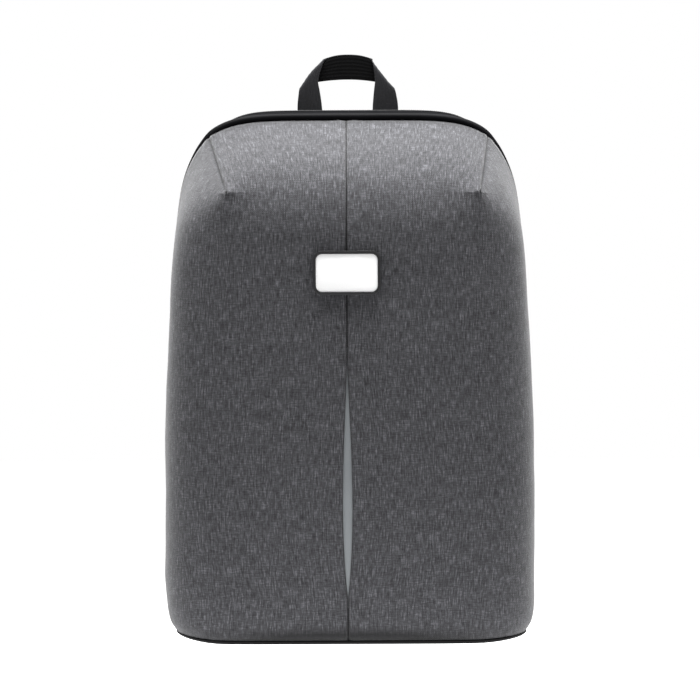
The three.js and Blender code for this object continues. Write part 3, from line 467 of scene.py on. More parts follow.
def slope_grid(form, brow, below):
    b = np.linspace(0, 1, SIDE_COLUMNS + 1)[:, None, None] ** SIDE_CROWDING
    a = column_shares()
    far = arch_point(form.seam + (DART_TOP_X - form.seam) * a)
    chord = far - brow
    length = np.linalg.norm(chord, axis=1, keepdims=True)
    leave = unit(brow - below) * length
    arrive = np.array([0, math.cos(SLOPE_FLATNESS), math.sin(SLOPE_FLATNESS)]) * length
    ease = brow_ease(a)[:, None]
    leave = chord + (leave - chord) * ease
    arrive = chord + (arrive - chord) * ease
    return hermite(b, brow, leave, far, arrive)


def run_along(points, axis):
    """Length along one axis of a grid of points, in metres, from its first row or column."""
    steps = np.linalg.norm(np.diff(points, axis=axis), axis=-1)
    lengths = np.cumsum(steps, axis=axis) * MM
    return np.concatenate([np.zeros_like(lengths.take([0], axis=axis)), lengths], axis)


def polyline_distance(points, line):
    """Distance of each point to a polyline."""
    best = np.full(len(points), np.inf)
    for start, way in zip(line[:-1], np.diff(line, axis=0)):
        t = np.clip((points - start) @ way / (way @ way), 0, 1)
        best = np.minimum(best, np.linalg.norm(points - start - t[:, None] * way, axis=1))
    return best


def soft_waves(points, size, seed):
    """Smooth noise at points, with waves of about that size in millimetres."""
    shift = Vector((seed * 7.1, seed * 3.7, seed * 5.3))
    return np.array([noise.noise(Vector(point) / size + shift) for point in points.tolist()])


# How the cloth is worked: places, depths and widths of its small forms
TOUCH = 0.005
SEAM_FADE = 9.0
SEAM_FADE_LEAST = 0.1
PUFF_AT, PUFF_WIDTH = 5.0, 3.0
DART_PUFF_AT, DART_PUFF_WIDTH = 3.2, 2.0
DART_DEPTH_SHARE, DART_WIDTH = 0.6, 0.8
DART_PIT, DART_PIT_WIDTH = 1.5, 1.7
DART_LIP, DART_LIP_WIDTH = 0.7, 1.0
DART_LIP_COURSE = np.array([(-8.5, 6.5), (-1.6, -1.6), (5.0, -1.0)])
WAVE_SIZES = (75.0, 34.0)
WAVE_EDGE, WAVE_FOOT, WAVE_RISE = 25.0, 8.0, 40.0
# Strength and width of the painted shade in the folds, below the welt and at the foot
SEAM_DARK, SEAM_DARK_WIDTH = 0.85, 0.65
DART_DARK, DART_DARK_WIDTH = 0.85, 0.7
TIP_DARK, TIP_DARK_WIDTH = 1.0, 2.0
WELT_DARK, WELT_DARK_REACH = 0.5, 4.0
FOOT_DARK, FOOT_DARK_HEIGHT = 1.3, 8.5
FOOT_DARK_MIDDLE, FOOT_DARK_SPAN = 1.2, 140.0
DARKEST = 0.92
DART_SAMPLES = 12


def cut_size(points, faces, places):
    """Width and length of the cloth of an open sheet, and its area, in metres."""
    a, b, c, d = (points[faces[:, k]] for k in range(4))
    area = float(np.linalg.norm(np.cross(c - a, d - b), axis=1).sum() / 2) * MM * MM
    width, length = (float(size) for size in np.ptp(places.reshape(-1, 2), axis=0))
    return (width, length), min(area, width * length)


def shell_sheet(form):
    """Front, flank and top slope of one half as one open sheet."""
    front, flank = front_grid(form), side_grid(form)
    slope = slope_grid(form, front[-1], front[-2])
    front_u, front_v = run_along(front, 1), run_along(front, 0)
    flank_up = run_along(flank, 0)
    flank_u = front_u[:, -1:] + run_along(flank, 1)
    flank_v = front_v[:, -1:] + (flank_up - flank_up[:, :1])
    slope_v = front_v[-1] + run_along(slope, 0)
    slope_u = np.broadcast_to(front_u[-1], slope_v.shape)
    return sewn([
        (front, np.stack([front_u, front_v], -1)),
        (flank, np.stack([flank_u, flank_v], -1)),
        (slope, np.stack([slope_u, slope_v], -1)),
    ])


def worked_cloth(points, from_seam, form, side, sizes):
    """How far seams, darts and waves push each point out, and how much painted shade lies there."""
    seam = np.where(points[:, 0] < CORNER_LINE_X / 2, np.abs(from_seam), np.inf)
    from_welt = EDGE_Y - points[:, 1]
    from_dart = polyline_distance(points, form.dart(np.linspace(0, 1, DART_SAMPLES)))
    from_tip = np.linalg.norm(points - form.tip, axis=1)
    from_lip = polyline_distance(points[:, [0, 2]], form.tip[[0, 2]] + DART_LIP_COURSE)
    shift = -sizes.seam_depth * bump_at(seam, sizes.seam_width) * np.clip(
        from_welt / SEAM_FADE, SEAM_FADE_LEAST, 1)
    shift += sizes.puff * bump_at(seam - PUFF_AT * sizes.seam_width, PUFF_WIDTH * sizes.seam_width)
    shift += sizes.puff * bump_at(from_dart - DART_PUFF_AT, DART_PUFF_WIDTH)
    shift -= DART_DEPTH_SHARE * sizes.seam_depth * bump_at(from_dart, DART_WIDTH)
    shift -= DART_PIT * bump_at(from_tip, DART_PIT_WIDTH)
    shift += DART_LIP * bump_at(from_lip, DART_LIP_WIDTH) * (points[:, 1] < 0)
    inland = np.clip(from_welt / WAVE_EDGE, 0, 1) * np.clip((points[:, 2] - WAVE_FOOT) / WAVE_RISE, 0, 1)
    for number, size in enumerate(WAVE_SIZES):
        waves = soft_waves(points, size, 3 * number + (side > 0))
        shift += sizes.sag * waves * inland / (1 + number)
    middle = np.clip(FOOT_DARK_MIDDLE - np.abs(points[:, 0]) / FOOT_DARK_SPAN, 0, 1)
    # Painted shade: darker along seams and darts, round dart tips, below the welt and along the foot
    dark = SEAM_DARK * bump_at(seam, SEAM_DARK_WIDTH) + DART_DARK * bump_at(from_dart, DART_DARK_WIDTH)
    dark += TIP_DARK * bump_at(from_tip, TIP_DARK_WIDTH) + WELT_DARK * bump_at(from_welt, WELT_DARK_REACH)
    dark += FOOT_DARK * bump_at(points[:, 2] - FLOOR_OF_SHELL, FOOT_DARK_HEIGHT) * middle
    return shift, np.clip(dark, 0, DARKEST)


def shell_half(side, name, sizes):
    """One half of the shell as a closed cloth wall with worked seams, and the size and area of its cloth."""
    form = HalfForm(side)
    points, faces, places = shell_sheet(form)
    from_seam = points[:, 0] - form.seam - pleat_half_width(points[:, 2])
    shift, dark = worked_cloth(points, from_seam, form, side, sizes)
    outer = points + normals_of(points, faces) * shift[:, None]
    inner = outer - normals_of(outer, faces) * sizes.cloth
    on_seam = np.abs(from_seam) < TOUCH
    inner[on_seam, 0] = outer[on_seam, 0]
    on_edge = points[:, 1] > EDGE_Y - TOUCH
    on_floor = points[:, 2] < FLOOR_OF_SHELL + TOUCH
    for face in (outer, inner):
        face[on_edge, 1] = EDGE_Y
        face[on_floor, 2] = FLOOR_OF_SHELL
    flat, area = cut_size(points, faces, places)
    points, faces, places = walled(outer, faces, places, inner)
    if side < 0:
        points = points * (-1, 1, 1)
        faces, places = faces[:, ::-1], places[:, ::-1] * (-1, 1)
    made = mesh_object(f"melange_shell_{name}", points, faces, places)
    set_painted_shade(made, np.concatenate([dark, dark]))
    return made, flat, area


# The outline of the back edge, with its outward directions

OUTLINE_STEP = 3.0
OUTLINE_SOFTNESS = 2
FLANK_SAMPLES, ARCH_SAMPLES = 200, 80


def spaced(line, step):
    """A polyline with points at even steps."""
    lengths = lengths_along(line)
    count = max(int(round(lengths[-1] / step)), 1)
    return sampled(np.linspace(0, lengths[-1], count + 1), lengths, line)


def softened(line, times):
    for _ in range(times):
        line = line.copy()
        line[1:-1] = (line[:-2] + 2 * line[1:-1] + line[2:]) / 4
    return line


def outline_frames(foot=FLOOR_OF_SHELL):
    """Points and outward directions in X and Z, from the right foot over the crown to the left foot."""
    side_z = np.linspace(foot, DART_TOP_HEIGHT, FLANK_SAMPLES)
    arch = arch_point(np.linspace(DART_TOP_X, 0, ARCH_SAMPLES)[1:])[:, [0, 2]]
    right = np.concatenate([np.stack([half_width_at(side_z), side_z], -1), arch])
    line = np.concatenate([right, right[-2::-1] * (-1, 1)])
    line = softened(spaced(line, OUTLINE_STEP), OUTLINE_SOFTNESS)
    along = unit(np.gradient(line, axis=0))
    return line, np.stack([along[:, 1], -along[:, 0]], -1)


def band_rise(out):
    crown = np.maximum(out[:, 1], 0) ** CROWN_SHARPNESS
    return BAND_SIDE_RISE + (BAND_TOP_RISE - BAND_SIDE_RISE) * crown


def on_outline(line, out, rise, y):
    """Points at a rise above the outline and a depth y."""
    place = line + out * np.asarray(rise)[..., None]
    y = np.broadcast_to(y, place[..., 0].shape)
    return np.stack([place[..., 0], y, place[..., 1]], -1)


# The drawn welt swells into most of the gap to its neighbours, so that no light shows between them
WELT_SWELL = 0.2
WELT_SIDES = 16
BAND_COLUMNS = 15


def edge_piping():
    line, out = outline_frames(foot=FLOOR_OF_SHELL + PIPING_DIAMETER / 2)
    crown = np.maximum(out[:, 1], 0) ** 2
    rise = -PIPING_SINK + (PIPING_DIAMETER / 2 + PIPING_SINK) * crown
    y = EDGE_Y + CLEARANCE + PIPING_DIAMETER / 2
    reach = PIPING_DIAMETER / 2 + WELT_SWELL
    angles = 2 * math.pi * np.arange(WELT_SIDES) / WELT_SIDES
    rings = [on_outline(line, out, rise + reach * math.cos(a), y + reach * math.sin(a)) for a in angles]
    return loft("edge_welt", np.stack(rings, 1))


def zip_gusset():
    line, out = outline_frames()
    shares = np.linspace(0, 1, BAND_COLUMNS)
    rise, drop = sampled(shares, BAND_SECTION[:, 0], BAND_SECTION[:, 1:]).T
    y = BAND_FRONT_Y + (BAND_BACK_Y - BAND_FRONT_Y) * shares
    heights = [band_rise(out) * r - BAND_BACK_DROP * d for r, d in zip(rise, drop)]
    outer = [on_outline(line, out, height, at) for height, at in zip(heights, y)]
    inner = [on_outline(line, out, height - BAND_WALL, at) for height, at in zip(heights, y)]
    return loft("zip_band", np.stack(outer + inner[::-1], 1))


# Handle

HANDLE_LEAN = math.pi / 4 + HANDLE_LIFT / 2
LEG_STEPS, WRAP_STEPS, BRIDGE_STEPS = 14, 10, 14
# How use has shaped the handle: its corners have rolled over and its sides are pulled askew
HANDLE_TOP = 482.7
HANDLE_PLAY = 0.1
SHOULDER_LEAST = 0.5
HANDLE_STRETCH, HANDLE_STRETCH_FROM = 1.5, 425.0
SHOULDER_SLOPE = 0.745
ROLL_DEPTH, ROLL_REACH = 1.6, 9.0
# Place of a rolled corner in X and Z, and the shares of its roll across and down
ROLLS = ((HANDLE_HALF_SPAN - WEB_WIDTH, HANDLE_TOP - 3.5, 0.62, 0.78),
         (HANDLE_HALF_SPAN, HANDLE_FOLD_HEIGHT + 1, 0.93, 0.36))
# Height, then the pull of the left outer, left inner, right inner and right outer edge
HANDLE_PULL = np.array([
    (430.0, -0.6, 0.0, -1.4, 0.2), (439.0, -0.9, 0.0, -1.4, 0.2), (450.6, -1.4, -1.6, -0.4, 0.2),
    (456.0, -0.6, -2.6, 0.2, -1.5), (461.0, 0.0, -3.7, 0.9, -3.6), (466.0, 0.0, -2.6, 0.6, -4.1),
    (470.5, 0.0, -1.0, 0.0, -3.9), (475.5, 0.0, 0.0, 0.0, -2.6), (481.0, 0.0, 0.0, 0.0, -0.8),
])


def folded_web(rise, x, layer):
    """A point of the flat webbing laid along its folded route, at a layer out of its middle."""
    fold = np.array([-math.cos(HANDLE_LEAN), math.sin(HANDLE_LEAN)])
    beyond = np.array([fold[1], -fold[0]])
    start = np.array([HANDLE_HALF_SPAN, HANDLE_FOLD_HEIGHT])
    flat = np.array([x, rise]) - start
    past = flat @ beyond
    foot = start + fold * (flat @ fold)
    wrap = math.pi * HANDLE_FOLD_RADIUS
    reach, back, face = past, 0.0, np.array([0.0, -1.0, 0.0])
    if 0 < past < wrap:
        angle = past / HANDLE_FOLD_RADIUS
        reach = HANDLE_FOLD_RADIUS * math.sin(angle)
        back = HANDLE_FOLD_RADIUS * (1 - math.cos(angle))
        face = np.array([beyond[0] * math.sin(angle), -math.cos(angle), beyond[1] * math.sin(angle)])
    elif past >= wrap:
        reach, back, face = wrap - past, 2 * HANDLE_FOLD_RADIUS, np.array([0.0, 1.0, 0.0])
    place = foot + beyond * reach
    return np.array([place[0], back, place[1]]) + face * layer


def web_section(width, thickness, ribs, rib_depth, columns=57):
    """Section of a ribbed webbing: places across its width and half thicknesses, ring by ring."""
    across = np.linspace(0, width, columns)
    edge = np.clip(np.minimum(across, width - across) / (0.6 * thickness), 0, 1)
    half = thickness / 2 * (0.25 + 0.75 * np.sqrt(1 - (1 - edge) ** 2))
    half = half - rib_depth * edge * (0.5 - 0.5 * np.cos(2 * np.pi * ribs * across / width))
    both = [(a, h) for a, h in zip(across, half)]
    return both + [(a, -h) for a, h in reversed(both)]


def used_handle(rings):
    """The folded handle with the soft shape of a used one."""
    x, z = rings[..., 0].copy(), rings[..., 2].copy()
    inner = HANDLE_HALF_SPAN - WEB_WIDTH
    shoulder = HANDLE_HALF_SPAN - (z - HANDLE_FOLD_HEIGHT) * SHOULDER_SLOPE
    outer = np.clip(shoulder, inner + SHOULDER_LEAST, HANDLE_HALF_SPAN)
    pulls = sampled(z, HANDLE_PULL[:, 0], HANDLE_PULL[:, 1:])
    out_left, in_left, in_right, out_right = np.moveaxis(pulls, -1, 0)
    out = np.clip((np.abs(x) - inner) / (outer - inner), 0, 1)
    pull = np.where(x < 0, in_left + (out_left - in_left) * out, in_right + (out_right - in_right) * out)
    rings[..., 0] += pull * np.clip(np.abs(x) / inner, 0, 1)
    for corner_x, corner_z, across, down in ROLLS:
        roll = ROLL_DEPTH * bump_at(np.hypot(np.abs(x) - corner_x, z - corner_z), ROLL_REACH)
        rings[..., 0] -= np.sign(x) * roll * across
        rings[..., 2] -= roll * down
    rings[..., 2] += HANDLE_STRETCH * np.clip(
        (z - HANDLE_STRETCH_FROM) / (HANDLE_TOP - HANDLE_STRETCH_FROM), 0, 1)
    return rings


def handle_half(section):
    """Rings of the right half of the handle: the leg, the wrap round its fold and half the bridge."""
    skew = math.tan(HANDLE_LEAN)
    wrap_rise = math.pi * HANDLE_FOLD_RADIUS / math.cos(HANDLE_LEAN)
    leg = HANDLE_FOLD_HEIGHT - HANDLE_FOLD_LEAD - HANDLE_LEG_FOOT
    rows = [(HANDLE_LEG_FOOT + leg * t, skew * t * t) for t in np.arange(LEG_STEPS) / LEG_STEPS]
    rows += [(HANDLE_FOLD_HEIGHT + wrap_rise * k / WRAP_STEPS, skew) for k in range(WRAP_STEPS + 1)]
    rings = [
        np.array([folded_web(rise + a * turn, HANDLE_HALF_SPAN - a, h) for a, h in section])
        for rise, turn in rows
    ]
    shift = math.pi * HANDLE_FOLD_RADIUS * skew
    start_x = HANDLE_HALF_SPAN - shift * math.cos(HANDLE_LEAN)
    start_z = HANDLE_FOLD_HEIGHT + shift * math.sin(HANDLE_LEAN)
    sag = math.tan(HANDLE_LIFT) * (HANDLE_HALF_SPAN - WEB_WIDTH) / 2
    edge = start_z + math.tan(HANDLE_LIFT) * start_x - sag
    a, h = np.array(section).T
    back, rise = 2 * HANDLE_FOLD_RADIUS - h, edge + a / math.cos(HANDLE_LIFT)
    last = rings[-1]
    for t in np.arange(1, BRIDGE_STEPS + 1) / BRIDGE_STEPS:
        climb = last[:, 2] + (rise - last[:, 2]) * (1 - (1 - t) ** 2)
        rings.append(np.stack([last[:, 0] * (1 - t), back, climb], -1))
    return rings


def top_handle(carry):
    """The folded webbing handle; painted shade darkens its bridge between the folds."""
    thickness = WEB_THICKNESS - HANDLE_PLAY
    right = handle_half(web_section(WEB_WIDTH, thickness, carry.ribs, carry.rib_depth))
    rings = used_handle(np.array(right + [ring * (-1, 1, 1) for ring in right[-2::-1]]))
    rings[..., 1] += REAR_Y + CLEARANCE + WEB_THICKNESS / 2
    made = loft("folded_handle", rings)
    # Painted shade over the bridge, from the end of one fold to the other
    painted_bridge_shade = np.zeros(rings.shape[:2])
    painted_bridge_shade[LEG_STEPS + WRAP_STEPS:-LEG_STEPS - WRAP_STEPS] = 1
    set_painted_shade(made, painted_bridge_shade)
    return made


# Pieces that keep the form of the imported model, with worked edges

FLAT_ANGLE, SHARP_ANGLE, SMOOTH_ANGLE = (math.radians(angle) for angle in (1, 35, 40))


def packed_mesh(node_name):
    """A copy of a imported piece's mesh, in place."""
    node = frame["nodes"][node_name]
    mesh = node.data.copy()
    mesh.transform(node.matrix_world)
    return mesh


def edges_rounded(node_name, name, width):
    """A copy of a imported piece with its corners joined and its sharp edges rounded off, in millimetres."""
    mesh = packed_mesh(node_name)
    work = bmesh.new()
    work.from_mesh(mesh)
    bmesh.ops.remove_doubles(work, verts=work.verts, dist=1e-6)
    bmesh.ops.dissolve_limit(work, angle_limit=FLAT_ANGLE, verts=work.verts, edges=work.edges)
    sharp = [e for e in work.edges if len(e.link_faces) == 2 and e.calc_face_angle(0) > SHARP_ANGLE]
    bmesh.ops.bevel(work, geom=sharp, offset=width * MM, segments=3, profile=0.5,
                    affect="EDGES", clamp_overlap=True)
    bmesh.ops.recalc_face_normals(work, faces=work.faces)
    work.to_mesh(mesh)
    work.free()
    mesh.name = name
    mesh.shade_smooth()
    mesh.set_sharp_from_angle(angle=SMOOTH_ANGLE)
    return scene_object(name, mesh)


def evaluated(made):
    """Turns a piece with modifiers into a plain mesh."""
    graph = bpy.context.evaluated_depsgraph_get()
    mesh = bpy.data.meshes.new_from_object(made.evaluated_get(graph))
    made.modifiers.clear()
    made.data = mesh
    return made


# Small rounded pieces at even steps along lines: zip teeth and stitches

def steps_tree(name, shapes):
    """Nodes that set small ellipsoids along a line; a shape is (radii, shift) along, across and out."""
    tree = bpy.data.node_groups.new(name, "GeometryNodeTree")
    tree.interface.new_socket("Geometry", in_out="INPUT", socket_type="NodeSocketGeometry")
    pitch = tree.interface.new_socket("Pitch", in_out="INPUT", socket_type="NodeSocketFloat")
    finish = tree.interface.new_socket("Material", in_out="INPUT", socket_type="NodeSocketMaterial")
    tree.interface.new_socket("Geometry", in_out="OUTPUT", socket_type="NodeSocketGeometry")
    start = add(tree, "NodeGroupInput")
    curve = add(tree, "GeometryNodeMeshToCurve", Mesh=start.outputs["Geometry"])
    even = add(tree, "GeometryNodeResampleCurve", {"mode": "LENGTH"}, Curve=curve.outputs[0],
               Length=start.outputs["Pitch"])
    out = add(tree, "GeometryNodeInputNamedAttribute", {"data_type": "FLOAT_VECTOR"}, Name="out")
    tangent = add(tree, "GeometryNodeInputTangent")
    turn = add(tree, "FunctionNodeAxesToRotation", {"primary_axis": "Z", "secondary_axis": "X"},
               Primary_Axis=out.outputs["Attribute"], Secondary_Axis=tangent.outputs[0])
    joined = add(tree, "GeometryNodeJoinGeometry")
    for radii, shift in shapes:
        ball = add(tree, "GeometryNodeMeshUVSphere", Segments=8, Rings=5, Radius=MM)
        placed = add(tree, "GeometryNodeTransform", Geometry=ball.outputs[0], Scale=radii,
                     Translation=[s * MM for s in shift])
        tree.links.new(placed.outputs[0], joined.inputs[0])
    spread = add(tree, "GeometryNodeInstanceOnPoints", Points=even.outputs[0], Instance=joined.outputs[0],
                 Rotation=turn.outputs[0])
    real = add(tree, "GeometryNodeRealizeInstances", Geometry=spread.outputs[0])
    painted = add(tree, "GeometryNodeSetMaterial", Geometry=real.outputs[0],
                  Material=start.outputs["Material"])
    end = add(tree, "NodeGroupOutput")
    tree.links.new(painted.outputs[0], end.inputs[0])
    return tree, pitch.identifier, finish.identifier


def steps_along(name, lines, pitch, shapes, material):
    """One mesh of small pieces along lines of (points, outward directions), in millimetres."""
    points = np.concatenate([line for line, _ in lines]) * MM
    outs = np.concatenate([out for _, out in lines])
    edges, first = [], 0
    for line, _ in lines:
        edges += [(first + k, first + k + 1) for k in range(len(line) - 1)]
        first += len(line)
    mesh = bpy.data.meshes.new(name)
    mesh.from_pydata(points.tolist(), edges, [])
    layer = mesh.attributes.new("out", "FLOAT_VECTOR", "POINT")
    layer.data.foreach_set("vector", outs.astype(np.float32).reshape(-1))
    made = scene_object(name, mesh)
    tree, pitch_key, material_key = steps_tree(name + "_steps", shapes)
    modifier = made.modifiers.new("steps", "NODES")
    modifier.node_group = tree
    modifier[pitch_key] = pitch * MM
    modifier[material_key] = material
    evaluated(made).data.shade_smooth()
    return made


TOOTH_SEAT = 0.5
TOOTH_DROP_SHARE = 0.3
COIL_TAIL = 10.0
COIL_TOOTH = [((0.6, 1.75, 0.72), (0.35, 1.5, 0)), ((0.6, 1.75, 0.72), (-0.35, -1.5, 0))]
STITCH = [((1.25, 0.3, 0.22), (0, 0, 0))]


def zip_teeth(trim, material):
    """The coil of the zip, tooth by tooth, on the crown of the band."""
    line, out = outline_frames()
    high = line[:, 1] > COIL_END_HEIGHT + COIL_TAIL
    seat = band_rise(out) - TOOTH_DROP_SHARE * BAND_BACK_DROP + TOOTH_SEAT
    points = on_outline(line, out, seat, COIL_Y)[high]
    outs = np.stack([out[:, 0], np.zeros(len(out)), out[:, 1]], -1)[high]
    return steps_along("zip_coil_teeth", [(points, outs)], trim.tooth_pitch, COIL_TOOTH, material)


# Shoulder straps and their webbing

STRAP_WIDTH, STRAP_LOWER_WIDTH, STRAP_THICKNESS = 62.0, 40.0, 11.0
STRAP_TOP_X, STRAP_LOW_X = 40.0, 92.0
STRAP_TOP_HEIGHT, STRAP_LOW_HEIGHT, STRAP_BOW = 378.0, 112.0, 34.0
STRAP_COURSE = np.array([(0, 0, 0), (0.1, 0.015, 0.42), (0.28, 0.107, 0.9), (0.5, 0.313, 1),
                         (0.75, 0.633, 0.84), (1, 1, 0.56)])
STRAP_STEP = 3.0
STRAP_COLUMNS, STRAP_PLAY = 61, 0.1
BINDING_WIDTH, BINDING_HALF, BINDING_ROUND = 6.0, 2.1, 1.8
FOAM_SLOPE, FOAM_VALLEY, FOAM_VALLEY_WIDTH = 6.5, 0.5, 0.9
STRAP_STITCH_INSET, STRAP_STITCH_RISE = 1.2, 0.05
BAR_STEPS, DROP_STEPS = 13, 33
LOWER_WEB_WIDTH, LOWER_WEB_THICKNESS, LOWER_RIB_DEPTH = 25.0, 1.6, 0.16
LOWER_WEB_STEP, LOWER_WEB_COLUMNS = 1.2, 55
WEB_TAIL, TAB_LENGTH = 46.0, 14.0
ADJUSTER_TALL, ADJUSTER_BAR = 26.0, 4.0
ANCHOR_X, ANCHOR_HEIGHT, ANCHOR_TALL, ANCHOR_WIDTH, ANCHOR_THICKNESS = 112.0, 34.0, 30.0, 36.0, 3.0
YOKE_WIDTH, YOKE_TOP, YOKE_BOTTOM, YOKE_THICKNESS = 150.0, 424.0, 380.0, 3.0
PATCH_INSET, PATCH_CORNER, PATCH_LINE_STEP = 3.0, 3.0, 1.5
BAR_TURN = ADJUSTER_BAR / 2 * math.sqrt(2) + CLEARANCE + LOWER_WEB_THICKNESS / 2


def course_through(points, fine=40):
    """A smooth line through points, as centripetal Catmull-Rom spans."""
    p = np.vstack([2 * points[0] - points[1], points, 2 * points[-1] - points[-2]])
    line = []
    for k in range(1, len(p) - 2):
        d0, d1, d2 = (math.sqrt(np.linalg.norm(p[k + j] - p[k + j - 1])) for j in range(3))
        leave = (p[k] - p[k - 1]) / d0 - (p[k + 1] - p[k - 1]) / (d0 + d1) + (p[k + 1] - p[k]) / d1
        arrive = (p[k + 1] - p[k]) / d1 - (p[k + 2] - p[k]) / (d1 + d2) + (p[k + 2] - p[k + 1]) / d2
        t = np.linspace(0, 1, fine, endpoint=False)[:, None]
        line.append(hermite(t, p[k], leave * d1, p[k + 1], arrive * d1))
    return np.vstack(line + [p[-2:-1]])


def strap_frames():
    """Middle line of the right shoulder strap with its directions along, across and out of its face."""
    along, outward, bow = STRAP_COURSE.T
    start = REAR_Y + CLEARANCE + STRAP_THICKNESS / 2
    points = np.stack([
        STRAP_TOP_X + (STRAP_LOW_X - STRAP_TOP_X) * outward,
        start + STRAP_BOW * bow,
        STRAP_TOP_HEIGHT + (STRAP_LOW_HEIGHT - STRAP_TOP_HEIGHT) * along,
    ], -1)
    line = spaced(course_through(points), STRAP_STEP)
    way = unit(np.gradient(line, axis=0))
    across = unit(np.array([1.0, 0, 0]) - way * way[:, :1])
    return line, way, across, np.cross(way, across)


def strap_widths(count):
    t = np.linspace(0, 1, count)
    return STRAP_WIDTH + (STRAP_LOWER_WIDTH - STRAP_WIDTH) * t ** 3


def strap_half(from_edge):
    """Half thickness of a padded strap at a distance from its edge: a flat binding, then the foam."""
    rim = BINDING_HALF * np.sqrt(1 - (1 - np.clip(from_edge / BINDING_ROUND, 0, 1)) ** 2)
    foam = soft_step(from_edge, BINDING_WIDTH, BINDING_WIDTH + FOAM_SLOPE)
    valley = FOAM_VALLEY * bump_at(from_edge - BINDING_WIDTH, FOAM_VALLEY_WIDTH)
    return rim + (STRAP_THICKNESS / 2 - STRAP_PLAY - BINDING_HALF) * foam - valley


def shoulder_strap(side, name):
    line, _, across, out = strap_frames()
    widths = strap_widths(len(line))[:, None, None]
    t = np.linspace(-1, 1, STRAP_COLUMNS)[None, :, None]
    at = np.sin(t * math.pi / 2) * widths / 2
    half = strap_half(widths / 2 - np.abs(at))
    middle = line[:, None, :] + across[:, None, :] * at
    front = middle + out[:, None, :] * half
    back = (middle - out[:, None, :] * half)[:, ::-1]
    rings = np.concatenate([front, back[:, 1:-1]], 1) * (side, 1, 1)
    return loft(f"padded_strap_{name}", rings)


def strap_stitches():
    """Stitch lines inside the bindings of both straps, on both faces."""
    line, _, across, out = strap_frames()
    widths = strap_widths(len(line))[:, None]
    inset = BINDING_WIDTH - STRAP_STITCH_INSET
    half = strap_half(np.array(inset)) + STRAP_STITCH_RISE
    lines = []
    for side, edge, face in itertools.product((-1, 1), repeat=3):
        points = line + across * edge * (widths / 2 - inset) + out * face * half
        lines.append((points[1:-1] * (side, 1, 1), (out * face)[1:-1] * (side, 1, 1)))
    return lines


def webbing(name, points, across, side, carry):
    """A ribbed webbing along points, given the direction across it at each."""
    lengths = lengths_along(points)
    at = np.linspace(0, lengths[-1], int(lengths[-1] / LOWER_WEB_STEP) + 1)
    line, across = softened(sampled(at, lengths, points), 1), sampled(at, lengths, across)
    normal = unit(np.cross(np.gradient(line, axis=0), across))
    section = np.array(web_section(
        LOWER_WEB_WIDTH, LOWER_WEB_THICKNESS, carry.ribs + 2, LOWER_RIB_DEPTH, LOWER_WEB_COLUMNS))
    rings = (line[:, None] + across[:, None] * (section[:, :1] - LOWER_WEB_WIDTH / 2)
             + normal[:, None] * section[:, 1:])
    return loft(name, rings * (side, 1, 1))


def adjuster_frame():
    line, way, across, out = strap_frames()
    return line[-1] + way[-1] * (TAB_LENGTH + ADJUSTER_TALL / 2), way[-1], across[-1], out[-1]


def beside(place, along, out):
    centre, way, _, face = place
    return centre + way * along + face * out


def round_bar(place, bar, start, end):
    angles = np.linspace(start, end, BAR_STEPS)
    return [beside(place, bar + BAR_TURN * math.cos(a), BAR_TURN * math.sin(a)) for a in angles]


def strap_tab(side, name, carry):
    place = adjuster_frame()
    bar = -ADJUSTER_TALL / 2 + ADJUSTER_BAR / 2
    foot = -ADJUSTER_TALL / 2 - TAB_LENGTH + CLEARANCE
    quarter = math.pi / 2
    points = np.array([beside(place, foot, -BAR_TURN), *round_bar(place, bar, -quarter, quarter),
                       beside(place, foot, BAR_TURN)])
    across = np.tile(place[2], (len(points), 1))
    return webbing(f"webbing_tab_{name}", points, across, side, carry)


def strap_webbing(side, name, carry):
    """The webbing from its free tail over the middle bar of the adjuster down to the back panel."""
    place = adjuster_frame()
    way = place[1]
    past = ADJUSTER_TALL / 2 + ADJUSTER_BAR
    quarter = math.pi / 2
    foot = np.array([ANCHOR_X, REAR_Y + CLEARANCE + LOWER_WEB_THICKNESS / 2, ANCHOR_HEIGHT])
    end = foot + (0, 0, ANCHOR_TALL / 2 + LOWER_WEB_THICKNESS)
    leave = beside(place, past, BAR_TURN)
    lead = np.linalg.norm(end - leave) / 3
    handles = [leave, leave + way * lead, end + (0, 0, lead), end]
    t = np.linspace(0, 1, DROP_STEPS)[:, None]
    drop = sum(math.comb(3, k) * t ** k * (1 - t) ** (3 - k) * handles[k] for k in range(4))
    head = [beside(place, past + WEB_TAIL, -BAR_TURN), beside(place, past, -BAR_TURN),
            *round_bar(place, 0, -quarter, -3 * quarter)]
    points = np.vstack([head, drop, foot])
    turn = np.concatenate([np.zeros(len(head)), t[:, 0], [1]])[:, None]
    across = unit(place[2] * (1 - turn) + np.array([1.0, 0, 0]) * turn)
    return webbing(f"strap_webbing_{name}_ribbed", points, across, side, carry)


def stitched_box(centre_x, low, high, width, y):
    """Points of a line of stitches inside the edge of a patch on the back, with their directions."""
    x, top, bottom = width / 2 - PATCH_INSET, high - PATCH_INSET, low + PATCH_INSET
    corners = np.array([(x, top), (-x, top), (-x, bottom), (x, bottom)])
    line = []
    for k, here in enumerate(corners):
        for other in (corners[k - 1], corners[(k + 1) % 4]):
            line.append(here + unit(other - here) * PATCH_CORNER)
    line = spaced(np.array(line + [line[0]]), PATCH_LINE_STEP)
    points = np.stack([line[:, 0] + centre_x, np.full(len(line), y), line[:, 1]], -1)
    return points, np.tile((0.0, 1.0, 0.0), (len(points), 1))


def patch_stitches():
    yoke_y = REAR_Y + 2 * CLEARANCE + WEB_THICKNESS + YOKE_THICKNESS
    anchor_y = REAR_Y + 2 * CLEARANCE + LOWER_WEB_THICKNESS + ANCHOR_THICKNESS
    lines = [stitched_box(0, YOKE_BOTTOM, YOKE_TOP, YOKE_WIDTH, yoke_y)]
    low, high = ANCHOR_HEIGHT - ANCHOR_TALL / 2, ANCHOR_HEIGHT + ANCHOR_TALL / 2
    for side in (-1, 1):
        lines.append(stitched_box(side * ANCHOR_X, low, high, ANCHOR_WIDTH, anchor_y))
    return lines


# Padded back

